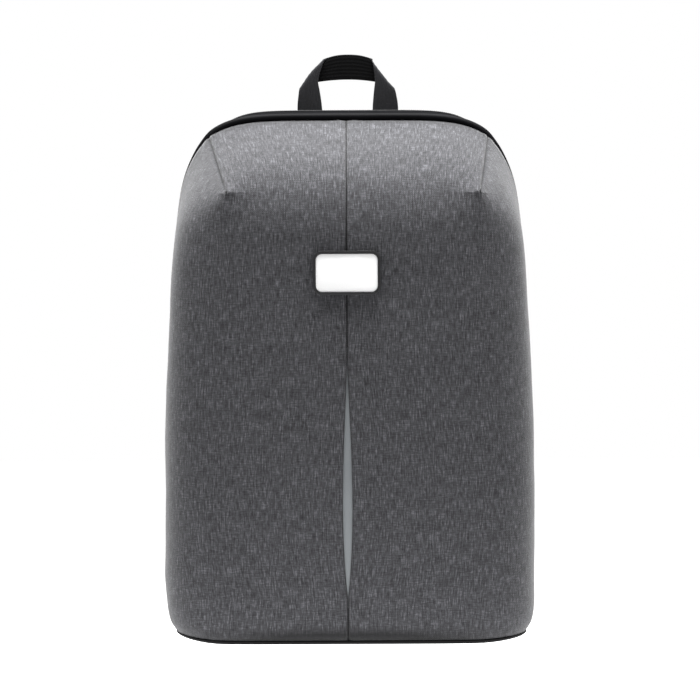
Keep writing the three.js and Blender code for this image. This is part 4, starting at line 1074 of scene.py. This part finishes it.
VOXEL = 4.6
PRESSURE = 4.0
PUFF_FRAMES = 20
PUFF_CAP = 3.2
# The swell rises over these heights and depths, and so do the channels
PUFF_FOOT = 58.0
PUFF_RISE, PUFF_FADE = 30.0, 34.0
PUFF_DEPTHS = (REAR_Y - 7, REAR_Y - 1)
CHANNEL_DEPTHS = (REAR_Y - 5, REAR_Y - 0.5)
CHANNEL_DEPTH, CHANNEL_WIDTH, CHANNEL_END = 2.6, 4.2, 8.0
CHANNEL_HEIGHTS = (142.0, 232.0, 322.0)
PAD_LOW, PAD_HIGH, PAD_HALF = 70.0, 362.0, 118.0


def puffed(made):
    """Blows a closed piece up like a filled cushion and returns its points and how far each moved."""
    scene = bpy.context.scene
    remesh = made.modifiers.new("even", "REMESH")
    remesh.mode = "VOXEL"
    remesh.voxel_size = VOXEL * MM
    evaluated(made)
    start = points_of(made.data)
    moved = start
    cloth = made.modifiers.new("puff", "CLOTH")
    cloth.settings.quality = 5
    cloth.settings.use_pressure = True
    cloth.settings.uniform_pressure_force = PRESSURE
    cloth.settings.effector_weights.gravity = 0
    cloth.point_cache.frame_end = PUFF_FRAMES
    for number in range(1, PUFF_FRAMES + 1):
        scene.frame_set(number)
    blown = made.evaluated_get(bpy.context.evaluated_depsgraph_get())
    moved = points_of(blown.to_mesh())
    blown.to_mesh_clear()
    made.modifiers.clear()
    scene.frame_set(1)
    return start, moved - start


def padded_back():
    """The padded back, blown up and then sewn down along its channels."""
    made = scene_object("padded_back", packed_mesh("back_panel"))
    start, moved = puffed(made)
    rear = soft_step(start[:, 1], *PUFF_DEPTHS)
    in_height = soft_step(start[:, 2], PUFF_FOOT, PAD_LOW + PUFF_RISE)
    in_height *= 1 - soft_step(start[:, 2], PAD_HIGH - PUFF_FADE, PAD_HIGH)
    swell = np.clip(moved[:, 1], 0, None) * rear * in_height
    start[:, 1] += swell / max(float(swell.max()), 1e-6) * PUFF_CAP
    set_points(made.data, start)
    fine = made.modifiers.new("fine", "SUBSURF")
    fine.levels = fine.render_levels = 1
    points = points_of(evaluated(made).data)
    x, y, z = points.T
    inside = soft_step(z, PAD_LOW - CHANNEL_END, PAD_LOW + CHANNEL_END)
    inside *= 1 - soft_step(z, PAD_HIGH - CHANNEL_END, PAD_HIGH + CHANNEL_END)
    across = 1 - soft_step(np.abs(x), PAD_HALF - CHANNEL_END, PAD_HALF + CHANNEL_END)
    side_channel = np.where(inside < 0.5, np.inf, np.abs(np.abs(x) - PAD_HALF))
    upright = np.minimum(np.abs(x), side_channel)
    valley = bump_at(upright, CHANNEL_WIDTH) * inside
    for height in CHANNEL_HEIGHTS:
        valley = np.maximum(valley, bump_at(z - height, CHANNEL_WIDTH) * across)
    points[:, 1] -= CHANNEL_DEPTH * valley * soft_step(y, *CHANNEL_DEPTHS)
    set_points(made.data, points)
    made.data.shade_smooth()
    outward(made)
    return made


# Materials

# Sizes in millimetres: streaks of the melange across and along their yarn, its clouds and its yarns,
# the clouds of every other finish, and the holes of the spacer mesh
STREAK_WIDE, WARP_LONG, WEFT_LONG = 1.1, 9.0, 6.0
CLOUD, YARN, PATINA, HOLE_PITCH = 14.0, 0.9, 28.0, 3.2
# Share of the colour left where the painted shade is full
PAINTED_SHADE_TONE = 0.12


def linear(hex_colour):
    """Linear RGBA of an sRGB hex colour."""
    channels = [int(hex_colour[k:k + 2], 16) / 255 for k in (1, 3, 5)]
    return [c / 12.92 if c <= 0.04045 else ((c + 0.055) / 1.055) ** 2.4 for c in channels] + [1.0]


def shade(hex_colour, factor):
    """Linear RGBA of a hex colour made lighter or darker."""
    return [min(c * factor, 1.0) for c in linear(hex_colour)[:3]] + [1.0]


def add(tree, kind, settings=None, **inputs):
    """Adds a node with its settings; an input is a value or another node's output.

    An input's name has _ for a space, or i and its number."""
    made = tree.nodes.new(kind)
    for key, value in (settings or {}).items():
        setattr(made, key, value)
    for key, value in inputs.items():
        name = int(key[1:]) if key[0] == "i" and key[1:].isdigit() else key.replace("_", " ")
        socket = made.inputs[name]
        if isinstance(value, bpy.types.NodeSocket):
            tree.links.new(value, socket)
        else:
            socket.default_value = value
    return made


def new_material(name, roughness, **values):
    """A material with a Principled shader whose constant values are set on its own sockets."""
    material = bpy.data.materials.new(name)
    material.use_nodes = True
    tree = material.node_tree
    shader = tree.nodes["Principled BSDF"]
    shader.inputs["Roughness"].default_value = roughness
    for key, value in values.items():
        shader.inputs[key.replace("_", " ")].default_value = value
    return material, tree, shader


def ramp(tree, factor, stops):
    """A colour ramp through (place, colour) stops."""
    made = tree.nodes.new("ShaderNodeValToRGB")
    elements = made.color_ramp.elements
    while len(elements) < len(stops):
        elements.new(0.5)
    for element, (place, colour) in zip(elements, stops):
        element.position = place
        element.color = colour
    tree.links.new(factor, made.inputs["Fac"])
    return made.outputs["Color"]


def blended(tree, share, low, high):
    """A value between two others."""
    return add(tree, "ShaderNodeMix", {"data_type": "FLOAT"}, i0=share, i2=low, i3=high).outputs[0]


def tinted(tree, share, low, high):
    """A colour between two others."""
    return add(tree, "ShaderNodeMix", {"data_type": "RGBA"}, i0=share, i6=low, i7=high).outputs[2]


def grain_of(tree, place, size, detail, roughness):
    """Soft noise with grains of a size, at places in the same unit."""
    return add(tree, "ShaderNodeTexNoise", Vector=place, Scale=1 / size, Detail=detail,
               Roughness=roughness).outputs["Fac"]


def bumped(tree, shader, height, strength, distance):
    """Lets a height show in the way the light falls; distance in millimetres."""
    bump = add(tree, "ShaderNodeBump", Strength=strength, Distance=distance * MM, Height=height)
    tree.links.new(bump.outputs[0], shader.inputs["Normal"])


def own_cloth(tree):
    """The piece's own cloth places, in metres along the yarns."""
    return add(tree, "ShaderNodeUVMap", {"uv_map": "cloth"}).outputs["UV"]


def stretched(tree, place, across, along):
    """Places counted in steps of so many millimetres across and along."""
    return add(tree, "ShaderNodeMapping", Vector=place,
               Scale=(1 / (across * MM), 1 / (along * MM), 1)).outputs[0]


def painted_shade_tint(tree, colour, tint):
    """A tint that darkens with the painted shade that the piece carries at its points."""
    fold = add(tree, "ShaderNodeAttribute", {"attribute_name": PAINTED_SHADE})
    return tinted(tree, fold.outputs["Fac"], tint, shade(colour, PAINTED_SHADE_TONE))


def melange_cloth(name, colour):
    """Yarn-dyed polyester, plain woven: pale and dark fibres are spun together, so the grey is streaked."""
    material, tree, shader = new_material(
        name, 0.92, Sheen_Weight=0.22, Sheen_Roughness=0.5, Specular_IOR_Level=0.2)
    cloth = own_cloth(tree)
    # Streaks run along the warp and, a little shorter, along the weft
    warp, weft = (
        grain_of(tree, stretched(tree, cloth, *size), 1.0, 3.0, 0.7)
        for size in ((STREAK_WIDE, WARP_LONG), (WEFT_LONG, STREAK_WIDE)))
    clouds = grain_of(tree, cloth, CLOUD * MM, 2.0, 0.5)
    uneven = blended(tree, 0.07, blended(tree, 0.36, warp, weft), clouds)
    tint = ramp(tree, uneven, [
        (0.385, shade(colour, 0.33)), (0.47, shade(colour, 0.79)),
        (0.54, shade(colour, 1.17)), (0.625, shade(colour, 2.6)),
    ])
    # Painted shade: seams, dart tips, the cloth under the welt and the foot take a darker tint
    tree.links.new(painted_shade_tint(tree, colour, tint), shader.inputs["Base Color"])
    # The plain weave of its yarns shows in a close view
    weave = add(tree, "ShaderNodeTexChecker", Vector=stretched(tree, cloth, YARN, YARN), Scale=1.0)
    height = add(tree, "ShaderNodeMath", {"operation": "MULTIPLY_ADD"}, i0=uneven, i1=2.0,
                 i2=weave.outputs["Fac"])
    bumped(tree, shader, height.outputs[0], 0.5, 0.2)
    return material


def grained(name, colour, grain_size, roughness, contrast, height, **values):
    """A finish of one colour with an even grain; sizes in millimetres."""
    material, tree, shader = new_material(name, roughness, **values)
    place = add(tree, "ShaderNodeTexCoord").outputs["Object"]
    grain = grain_of(tree, place, grain_size * MM, 2.0, 0.7)
    clouds = grain_of(tree, place, PATINA * MM, 3.0, 0.5)
    tint = ramp(tree, blended(tree, 0.35, grain, clouds), [
        (0.3, shade(colour, 1 - contrast)), (0.5, linear(colour)), (0.72, shade(colour, 1 + 2 * contrast)),
    ])
    tree.links.new(tint, shader.inputs["Base Color"])
    bumped(tree, shader, grain, 0.5, height)
    return material, tree, shader, tint


def woven_cloth(name, colour, thread, roughness=0.9, **values):
    """Plain woven polyester of one colour; thread is the spacing of its yarns."""
    return grained(name, colour, thread, roughness, 0.35, 0.3 * thread, **values)[0]


def coated_tape(name, colour):
    """Retroreflective tape: glass beads in a grey binder, pressed on cloth; the beads are a fine grain."""
    return grained(name, colour, 0.3, 0.45, 0.07, 0.03, Metallic=0.2, Specular_IOR_Level=0.4)[0]


def moulded(name, colour, roughness):
    """Moulded plastic: a fine spark-eroded grain from the tool and almost one tone."""
    return grained(name, colour, 0.5, roughness, 0.06, 0.03)[0]


def cast_metal(name, colour):
    """Zinc slider, die cast and dip painted: thin paint over the metal."""
    return grained(name, colour, 0.8, 0.38, 0.1, 0.02, Metallic=0.7)[0]


def ribbed_webbing(name, colour):
    """Polypropylene webbing woven with ribs along it; it darkens where painted shade lies, as on the bridge
    of the handle.
    """
    material, tree, shader, tint = grained(name, colour, 0.7, 0.9, 0.3, 0.2, Specular_IOR_Level=0.1)
    tree.links.new(painted_shade_tint(tree, colour, tint), shader.inputs["Base Color"])
    return material


def spacer_mesh(name, colour):
    """Knitted spacer mesh: round holes through the upper face, darkened inside with painted shade."""
    material, tree, shader, tint = grained(name, colour, 0.6, 0.95, 0.3, 0.1, Sheen_Weight=0.15)
    place = add(tree, "ShaderNodeTexCoord").outputs["Object"]
    holes = add(tree, "ShaderNodeTexVoronoi", {"feature": "F1"}, Vector=place, Scale=1 / (HOLE_PITCH * MM),
                Randomness=0.25)
    # Painted shade inside the holes, which the bump sinks
    inside = ramp(tree, holes.outputs["Distance"], [(0.26, [0, 0, 0, 1]), (0.42, [1, 1, 1, 1])])
    knit = tinted(tree, inside, shade(colour, 0.25), tint)
    tree.links.new(knit, shader.inputs["Base Color"])
    bumped(tree, shader, inside, 0.8, 0.6)
    return material


MATERIALS = {}


def material_of(slot):
    """The finish of a slot of the record, made once."""
    if slot in MATERIALS:
        return MATERIALS[slot]
    scene = bpy.context.scene
    shell, trim, carry = scene.backpack_shell, scene.backpack_trim, scene.backpack_carry
    makers = {
        "shell_melange": lambda: melange_cloth("polyester_melange_woven", shell.colour),
        "reflective_tape": lambda: coated_tape("reflective_tape_glass_bead", shell.strip_colour),
        "badge_black": lambda: moulded("soft_pvc_black_moulded", "#1b1b1d", 0.42),
        "badge_white": lambda: moulded("soft_pvc_white_moulded", "#fbfbfb", 0.5),
        # Cord wrapped in coated cloth, sewn flat, with the soft shine of its coating
        "piping_black": lambda: woven_cloth("coated_cloth_welt_sewn", trim.colour, 0.5, 0.6,
                                            Specular_IOR_Level=0.045),
        # Plain woven polyester of the zip band and patches
        "band_fabric": lambda: woven_cloth("polyester_plain_woven_black", trim.band_colour, 0.6,
                                           Specular_IOR_Level=0.04),
        "zip_nylon": lambda: moulded("nylon_coil_extruded", "#111112", 0.7),
        "slider_metal": lambda: cast_metal("zinc_slider_cast_painted", "#26262a"),
        # Heavy polyester with a coating against wear
        "base_fabric": lambda: woven_cloth("polyester_heavy_coated", "#0f0f10", 0.7, 0.7,
                                           Specular_IOR_Level=0.1),
        "air_mesh": lambda: spacer_mesh("spacer_mesh_knitted", carry.mesh_colour),
        "webbing_black": lambda: ribbed_webbing("polypropylene_webbing_ribbed", carry.web_colour),
        "adjuster_plastic": lambda: moulded("acetal_adjuster_moulded", "#151517", 0.45),
    }
    MATERIALS[slot] = makers[slot]()
    return MATERIALS[slot]


# Camera, light and floor: a distant camera level with the bag, a white room and a softbox overhead

CAMERA_ELEVATION = math.radians(0.8)
CAMERA_ROLL = math.radians(-0.25)
CAMERA_DISTANCE = 4.0
CAMERA_LENS = 248.5
CAMERA_TARGET = Vector((0.0006, 0.025, 0.2375))
FLOOR_SIZE = 8.0
FLOOR_DROP = 0.0006
FLOOR_GLOW = 0.9
POOL_GLOW = 2.3
POOL_CENTRE = (0.0, -0.02, 0.0)
POOL_INNER, POOL_OUTER = 0.16, 0.36
LAMP_PLACE = (0, 0.06, 1.45)
LAMP_SIZE = (1.1, 0.8)


def pale_floor():
    bpy.ops.mesh.primitive_plane_add(size=FLOOR_SIZE, location=(0, 0, -FLOOR_DROP))
    floor = bpy.context.object
    floor.name = "pale_floor"
    material, tree, shader = new_material(
        "floor_matt_pale", 0.9, Base_Color=linear("#6f6f6f"), Specular_IOR_Level=0.0,
        Emission_Color=(1, 1, 1, 1))
    # A painted pool of light: the floor glows brighter round the bag's foot, so that its lower front is
    # brighter than its middle
    place = add(tree, "ShaderNodeTexCoord").outputs["Object"]
    away = add(tree, "ShaderNodeVectorMath", {"operation": "DISTANCE"}, i0=place, i1=POOL_CENTRE)
    glow = add(tree, "ShaderNodeMapRange", {"interpolation_type": "SMOOTHSTEP"}, Value=away.outputs["Value"],
               From_Min=POOL_INNER, From_Max=POOL_OUTER, To_Min=POOL_GLOW, To_Max=FLOOR_GLOW)
    tree.links.new(glow.outputs[0], shader.inputs["Emission Strength"])
    grain = add(tree, "ShaderNodeTexNoise", Scale=40.0)
    tint = ramp(tree, grain.outputs["Fac"], [(0.3, linear("#6c6c6c")), (0.7, linear("#727272"))])
    tree.links.new(tint, shader.inputs["Base Color"])
    floor.data.materials.append(material)


def white_room(scene, stage):
    world = bpy.data.worlds.new("white_studio")
    world.use_nodes = True
    # The room behind the camera is darker than its white walls, so the front falls into shade
    tree = world.node_tree
    way = add(tree, "ShaderNodeTexCoord").outputs["Generated"]
    parts = add(tree, "ShaderNodeSeparateXYZ", Vector=way)
    level = add(tree, "ShaderNodeMapRange", {"interpolation_type": "SMOOTHSTEP"}, Value=parts.outputs["Y"],
                From_Min=-1.0, From_Max=-0.1, To_Min=stage.room * stage.front, To_Max=stage.room)
    room = tree.nodes["Background"]
    room.inputs["Color"].default_value = (1, 1, 1, 1)
    # Seen directly, the room is pale all round
    seen = add(tree, "ShaderNodeLightPath").outputs["Is Camera Ray"]
    tree.links.new(blended(tree, seen, level.outputs[0], stage.room), room.inputs["Strength"])
    scene.world = world
    scene.view_settings.view_transform = "Standard"
    softbox = bpy.data.lights.new("overhead_softbox", "AREA")
    softbox.shape = "RECTANGLE"
    softbox.size, softbox.size_y = LAMP_SIZE
    softbox.energy = stage.softbox
    scene_object("overhead_softbox", softbox).location = LAMP_PLACE


def photo_camera(scene):
    lens = bpy.data.cameras.new("photo_camera")
    lens.lens = CAMERA_LENS
    lens.sensor_width = 36.0
    camera = scene_object("photo_camera", lens)
    way = Vector((0, -math.cos(CAMERA_ELEVATION), math.sin(CAMERA_ELEVATION)))
    camera.location = CAMERA_TARGET + way * CAMERA_DISTANCE
    turn = (-way).to_track_quat("-Z", "Y") @ Quaternion((0, 0, 1), CAMERA_ROLL)
    camera.rotation_euler = turn.to_euler()
    scene.camera = camera


# Operators: one for each piece or group of like pieces, and one for the stage

SIDES = ((-1, "left"), (1, "right"))


def painted(made, slot):
    made.data.materials.clear()
    made.data.materials.append(material_of(slot))


def placed(made, slot, *replaced):
    """Gives a piece the material of its slot and fastens it to the body, in place of its CAD nodes."""
    painted(made, slot)
    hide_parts(*replaced)
    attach(made, ROOT)
    return made


def stitched(name, lines):
    """Places stitches of the trim's pitch along lines."""
    pitch = bpy.context.scene.backpack_trim.stitch_pitch
    placed(steps_along(name, lines, pitch, STITCH, material_of("webbing_black")), "webbing_black")


class BACKPACK_OT_stage(bpy.types.Operator):
    """Sets up the floor, the light and the camera"""
    bl_idname = "backpack.stage"
    bl_label = "Stage"

    def execute(self, context):
        pale_floor()
        white_room(context.scene, context.scene.backpack_stage)
        photo_camera(context.scene)
        return {"FINISHED"}


class BACKPACK_OT_shell(bpy.types.Operator):
    """Builds the two halves of the melange shell"""
    bl_idname = "backpack.shell"
    bl_label = "Shell"

    def execute(self, context):
        for side, name in SIDES:
            half, flat, area = shell_half(side, name, context.scene.backpack_shell)
            placed(corners_lifted(half), "shell_melange", f"shell_{name}")
        return {"FINISHED"}


class BACKPACK_OT_badge(bpy.types.Operator):
    """Builds the blank raised badge"""
    bl_idname = "backpack.badge"
    bl_label = "Badge"

    def execute(self, context):
        placed(edges_rounded("badge_frame", "badge_rim", 0.7), "badge_black", "badge_frame")
        placed(edges_rounded("badge_plate", "badge_face", 0.5), "badge_white", "badge_plate")
        return {"FINISHED"}


class BACKPACK_OT_welt(bpy.types.Operator):
    """Builds the black welt along the back edge of the shell"""
    bl_idname = "backpack.welt"
    bl_label = "Welt"

    def execute(self, context):
        placed(corners_lifted(edge_piping()), "piping_black", "edge_piping")
        return {"FINISHED"}


class BACKPACK_OT_zip(bpy.types.Operator):
    """Builds the band behind the welt with the zip's coil and sliders"""
    bl_idname = "backpack.zip"
    bl_label = "Zip"

    def execute(self, context):
        placed(corners_lifted(zip_gusset()), "band_fabric", "zip_gusset")
        teeth = zip_teeth(context.scene.backpack_trim, material_of("zip_nylon"))
        placed(teeth, "zip_nylon", "zip_coil")
        for end in ("upper", "lower"):
            node = f"zip_slider_{end}"
            placed(edges_rounded(node, f"{node}_cast", 0.7), "slider_metal", node)
        return {"FINISHED"}


class BACKPACK_OT_base(bpy.types.Operator):
    """Builds the black bottom"""
    bl_idname = "backpack.base"
    bl_label = "Base"

    def execute(self, context):
        base = corners_lifted(edges_rounded("base_panel", "base_coated", 0.6))
        placed(base, "base_fabric", "base_panel")
        return {"FINISHED"}


class BACKPACK_OT_back(bpy.types.Operator):
    """Builds the padded back with its sewn channels"""
    bl_idname = "backpack.back"
    bl_label = "Padded back"

    def execute(self, context):
        panel = placed(corners_lifted(padded_back()), "air_mesh", "back_panel")
        return {"FINISHED"}


class BACKPACK_OT_handle(bpy.types.Operator):
    """Builds the folded webbing handle"""
    bl_idname = "backpack.handle"
    bl_label = "Handle"

    def execute(self, context):
        placed(top_handle(context.scene.backpack_carry), "webbing_black", "top_handle")
        return {"FINISHED"}


class BACKPACK_OT_straps(bpy.types.Operator):
    """Builds the padded shoulder straps with their stitches"""
    bl_idname = "backpack.straps"
    bl_label = "Shoulder straps"

    def execute(self, context):
        for side, name in SIDES:
            strap = placed(shoulder_strap(side, name), "air_mesh", f"shoulder_strap_{name}")
        stitched("strap_stitches", strap_stitches())
        return {"FINISHED"}


class BACKPACK_OT_webbing(bpy.types.Operator):
    """Builds the webbing and adjusters below the shoulder straps"""
    bl_idname = "backpack.webbing"
    bl_label = "Webbing"

    def execute(self, context):
        carry = context.scene.backpack_carry
        for side, name in SIDES:
            placed(strap_tab(side, name, carry), "webbing_black", f"strap_tab_{name}")
            placed(strap_webbing(side, name, carry), "webbing_black", f"strap_webbing_{name}")
            node = f"strap_adjuster_{name}"
            placed(edges_rounded(node, f"{node}_moulded", 0.8), "adjuster_plastic", node)
        return {"FINISHED"}


class BACKPACK_OT_patches(bpy.types.Operator):
    """Builds the sewn patches on the back with their stitches"""
    bl_idname = "backpack.patches"
    bl_label = "Patches"

    def execute(self, context):
        for node in ("strap_yoke", "strap_anchor_left", "strap_anchor_right"):
            placed(edges_rounded(node, f"{node}_sewn", 1.0), "band_fabric", node)
        stitched("patch_stitches", patch_stitches())
        return {"FINISHED"}


class BACKPACK_OT_kept(bpy.types.Operator):
    """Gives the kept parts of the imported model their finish"""
    bl_idname = "backpack.kept"
    bl_label = "Kept parts"

    def execute(self, context):
        slots = {row["node"]: row["material_slot"] for row in frame["record"]["subparts"]}
        for name, node in frame["nodes"].items():
            if not node.hide_render:
                painted(node, slots[name])
        return {"FINISHED"}


OPERATORS = (
    BACKPACK_OT_stage, BACKPACK_OT_shell, BACKPACK_OT_badge, BACKPACK_OT_welt, BACKPACK_OT_zip,
    BACKPACK_OT_base, BACKPACK_OT_back, BACKPACK_OT_handle, BACKPACK_OT_straps, BACKPACK_OT_webbing,
    BACKPACK_OT_patches, BACKPACK_OT_kept,
)


class BACKPACK_PT_pieces(bpy.types.Panel):
    """Lists the sizes, colours and steps that build the backpack"""
    bl_label = "Backpack"
    bl_idname = "BACKPACK_PT_pieces"
    bl_space_type = "VIEW_3D"
    bl_region_type = "UI"
    bl_category = "Backpack"

    def draw(self, context):
        for settings in SETTINGS:
            group = getattr(context.scene, settings)
            box = self.layout.box()
            for name in group.__annotations__:
                box.prop(group, name)
        for operator in OPERATORS:
            self.layout.operator(operator.bl_idname)


SETTINGS = {
    "backpack_shell": ShellSettings,
    "backpack_trim": TrimSettings,
    "backpack_carry": CarrySettings,
    "backpack_stage": StageSettings,
}


def register():
    for kind in (*SETTINGS.values(), *OPERATORS, BACKPACK_PT_pieces):
        bpy.utils.register_class(kind)
    for name, group in SETTINGS.items():
        setattr(bpy.types.Scene, name, PointerProperty(type=group))


def unregister():
    for name in SETTINGS:
        delattr(bpy.types.Scene, name)
    for kind in (BACKPACK_PT_pieces, *reversed(OPERATORS), *SETTINGS.values()):
        bpy.utils.unregister_class(kind)


def main():
    register()
    bpy.ops.backpack.stage()
    bpy.ops.backpack.shell()
    bpy.ops.backpack.badge()
    bpy.ops.backpack.welt()
    bpy.ops.backpack.zip()
    bpy.ops.backpack.base()
    bpy.ops.backpack.back()
    bpy.ops.backpack.handle()
    bpy.ops.backpack.straps()
    bpy.ops.backpack.webbing()
    bpy.ops.backpack.patches()
    bpy.ops.backpack.kept()


if __name__ == "__main__":
    main()
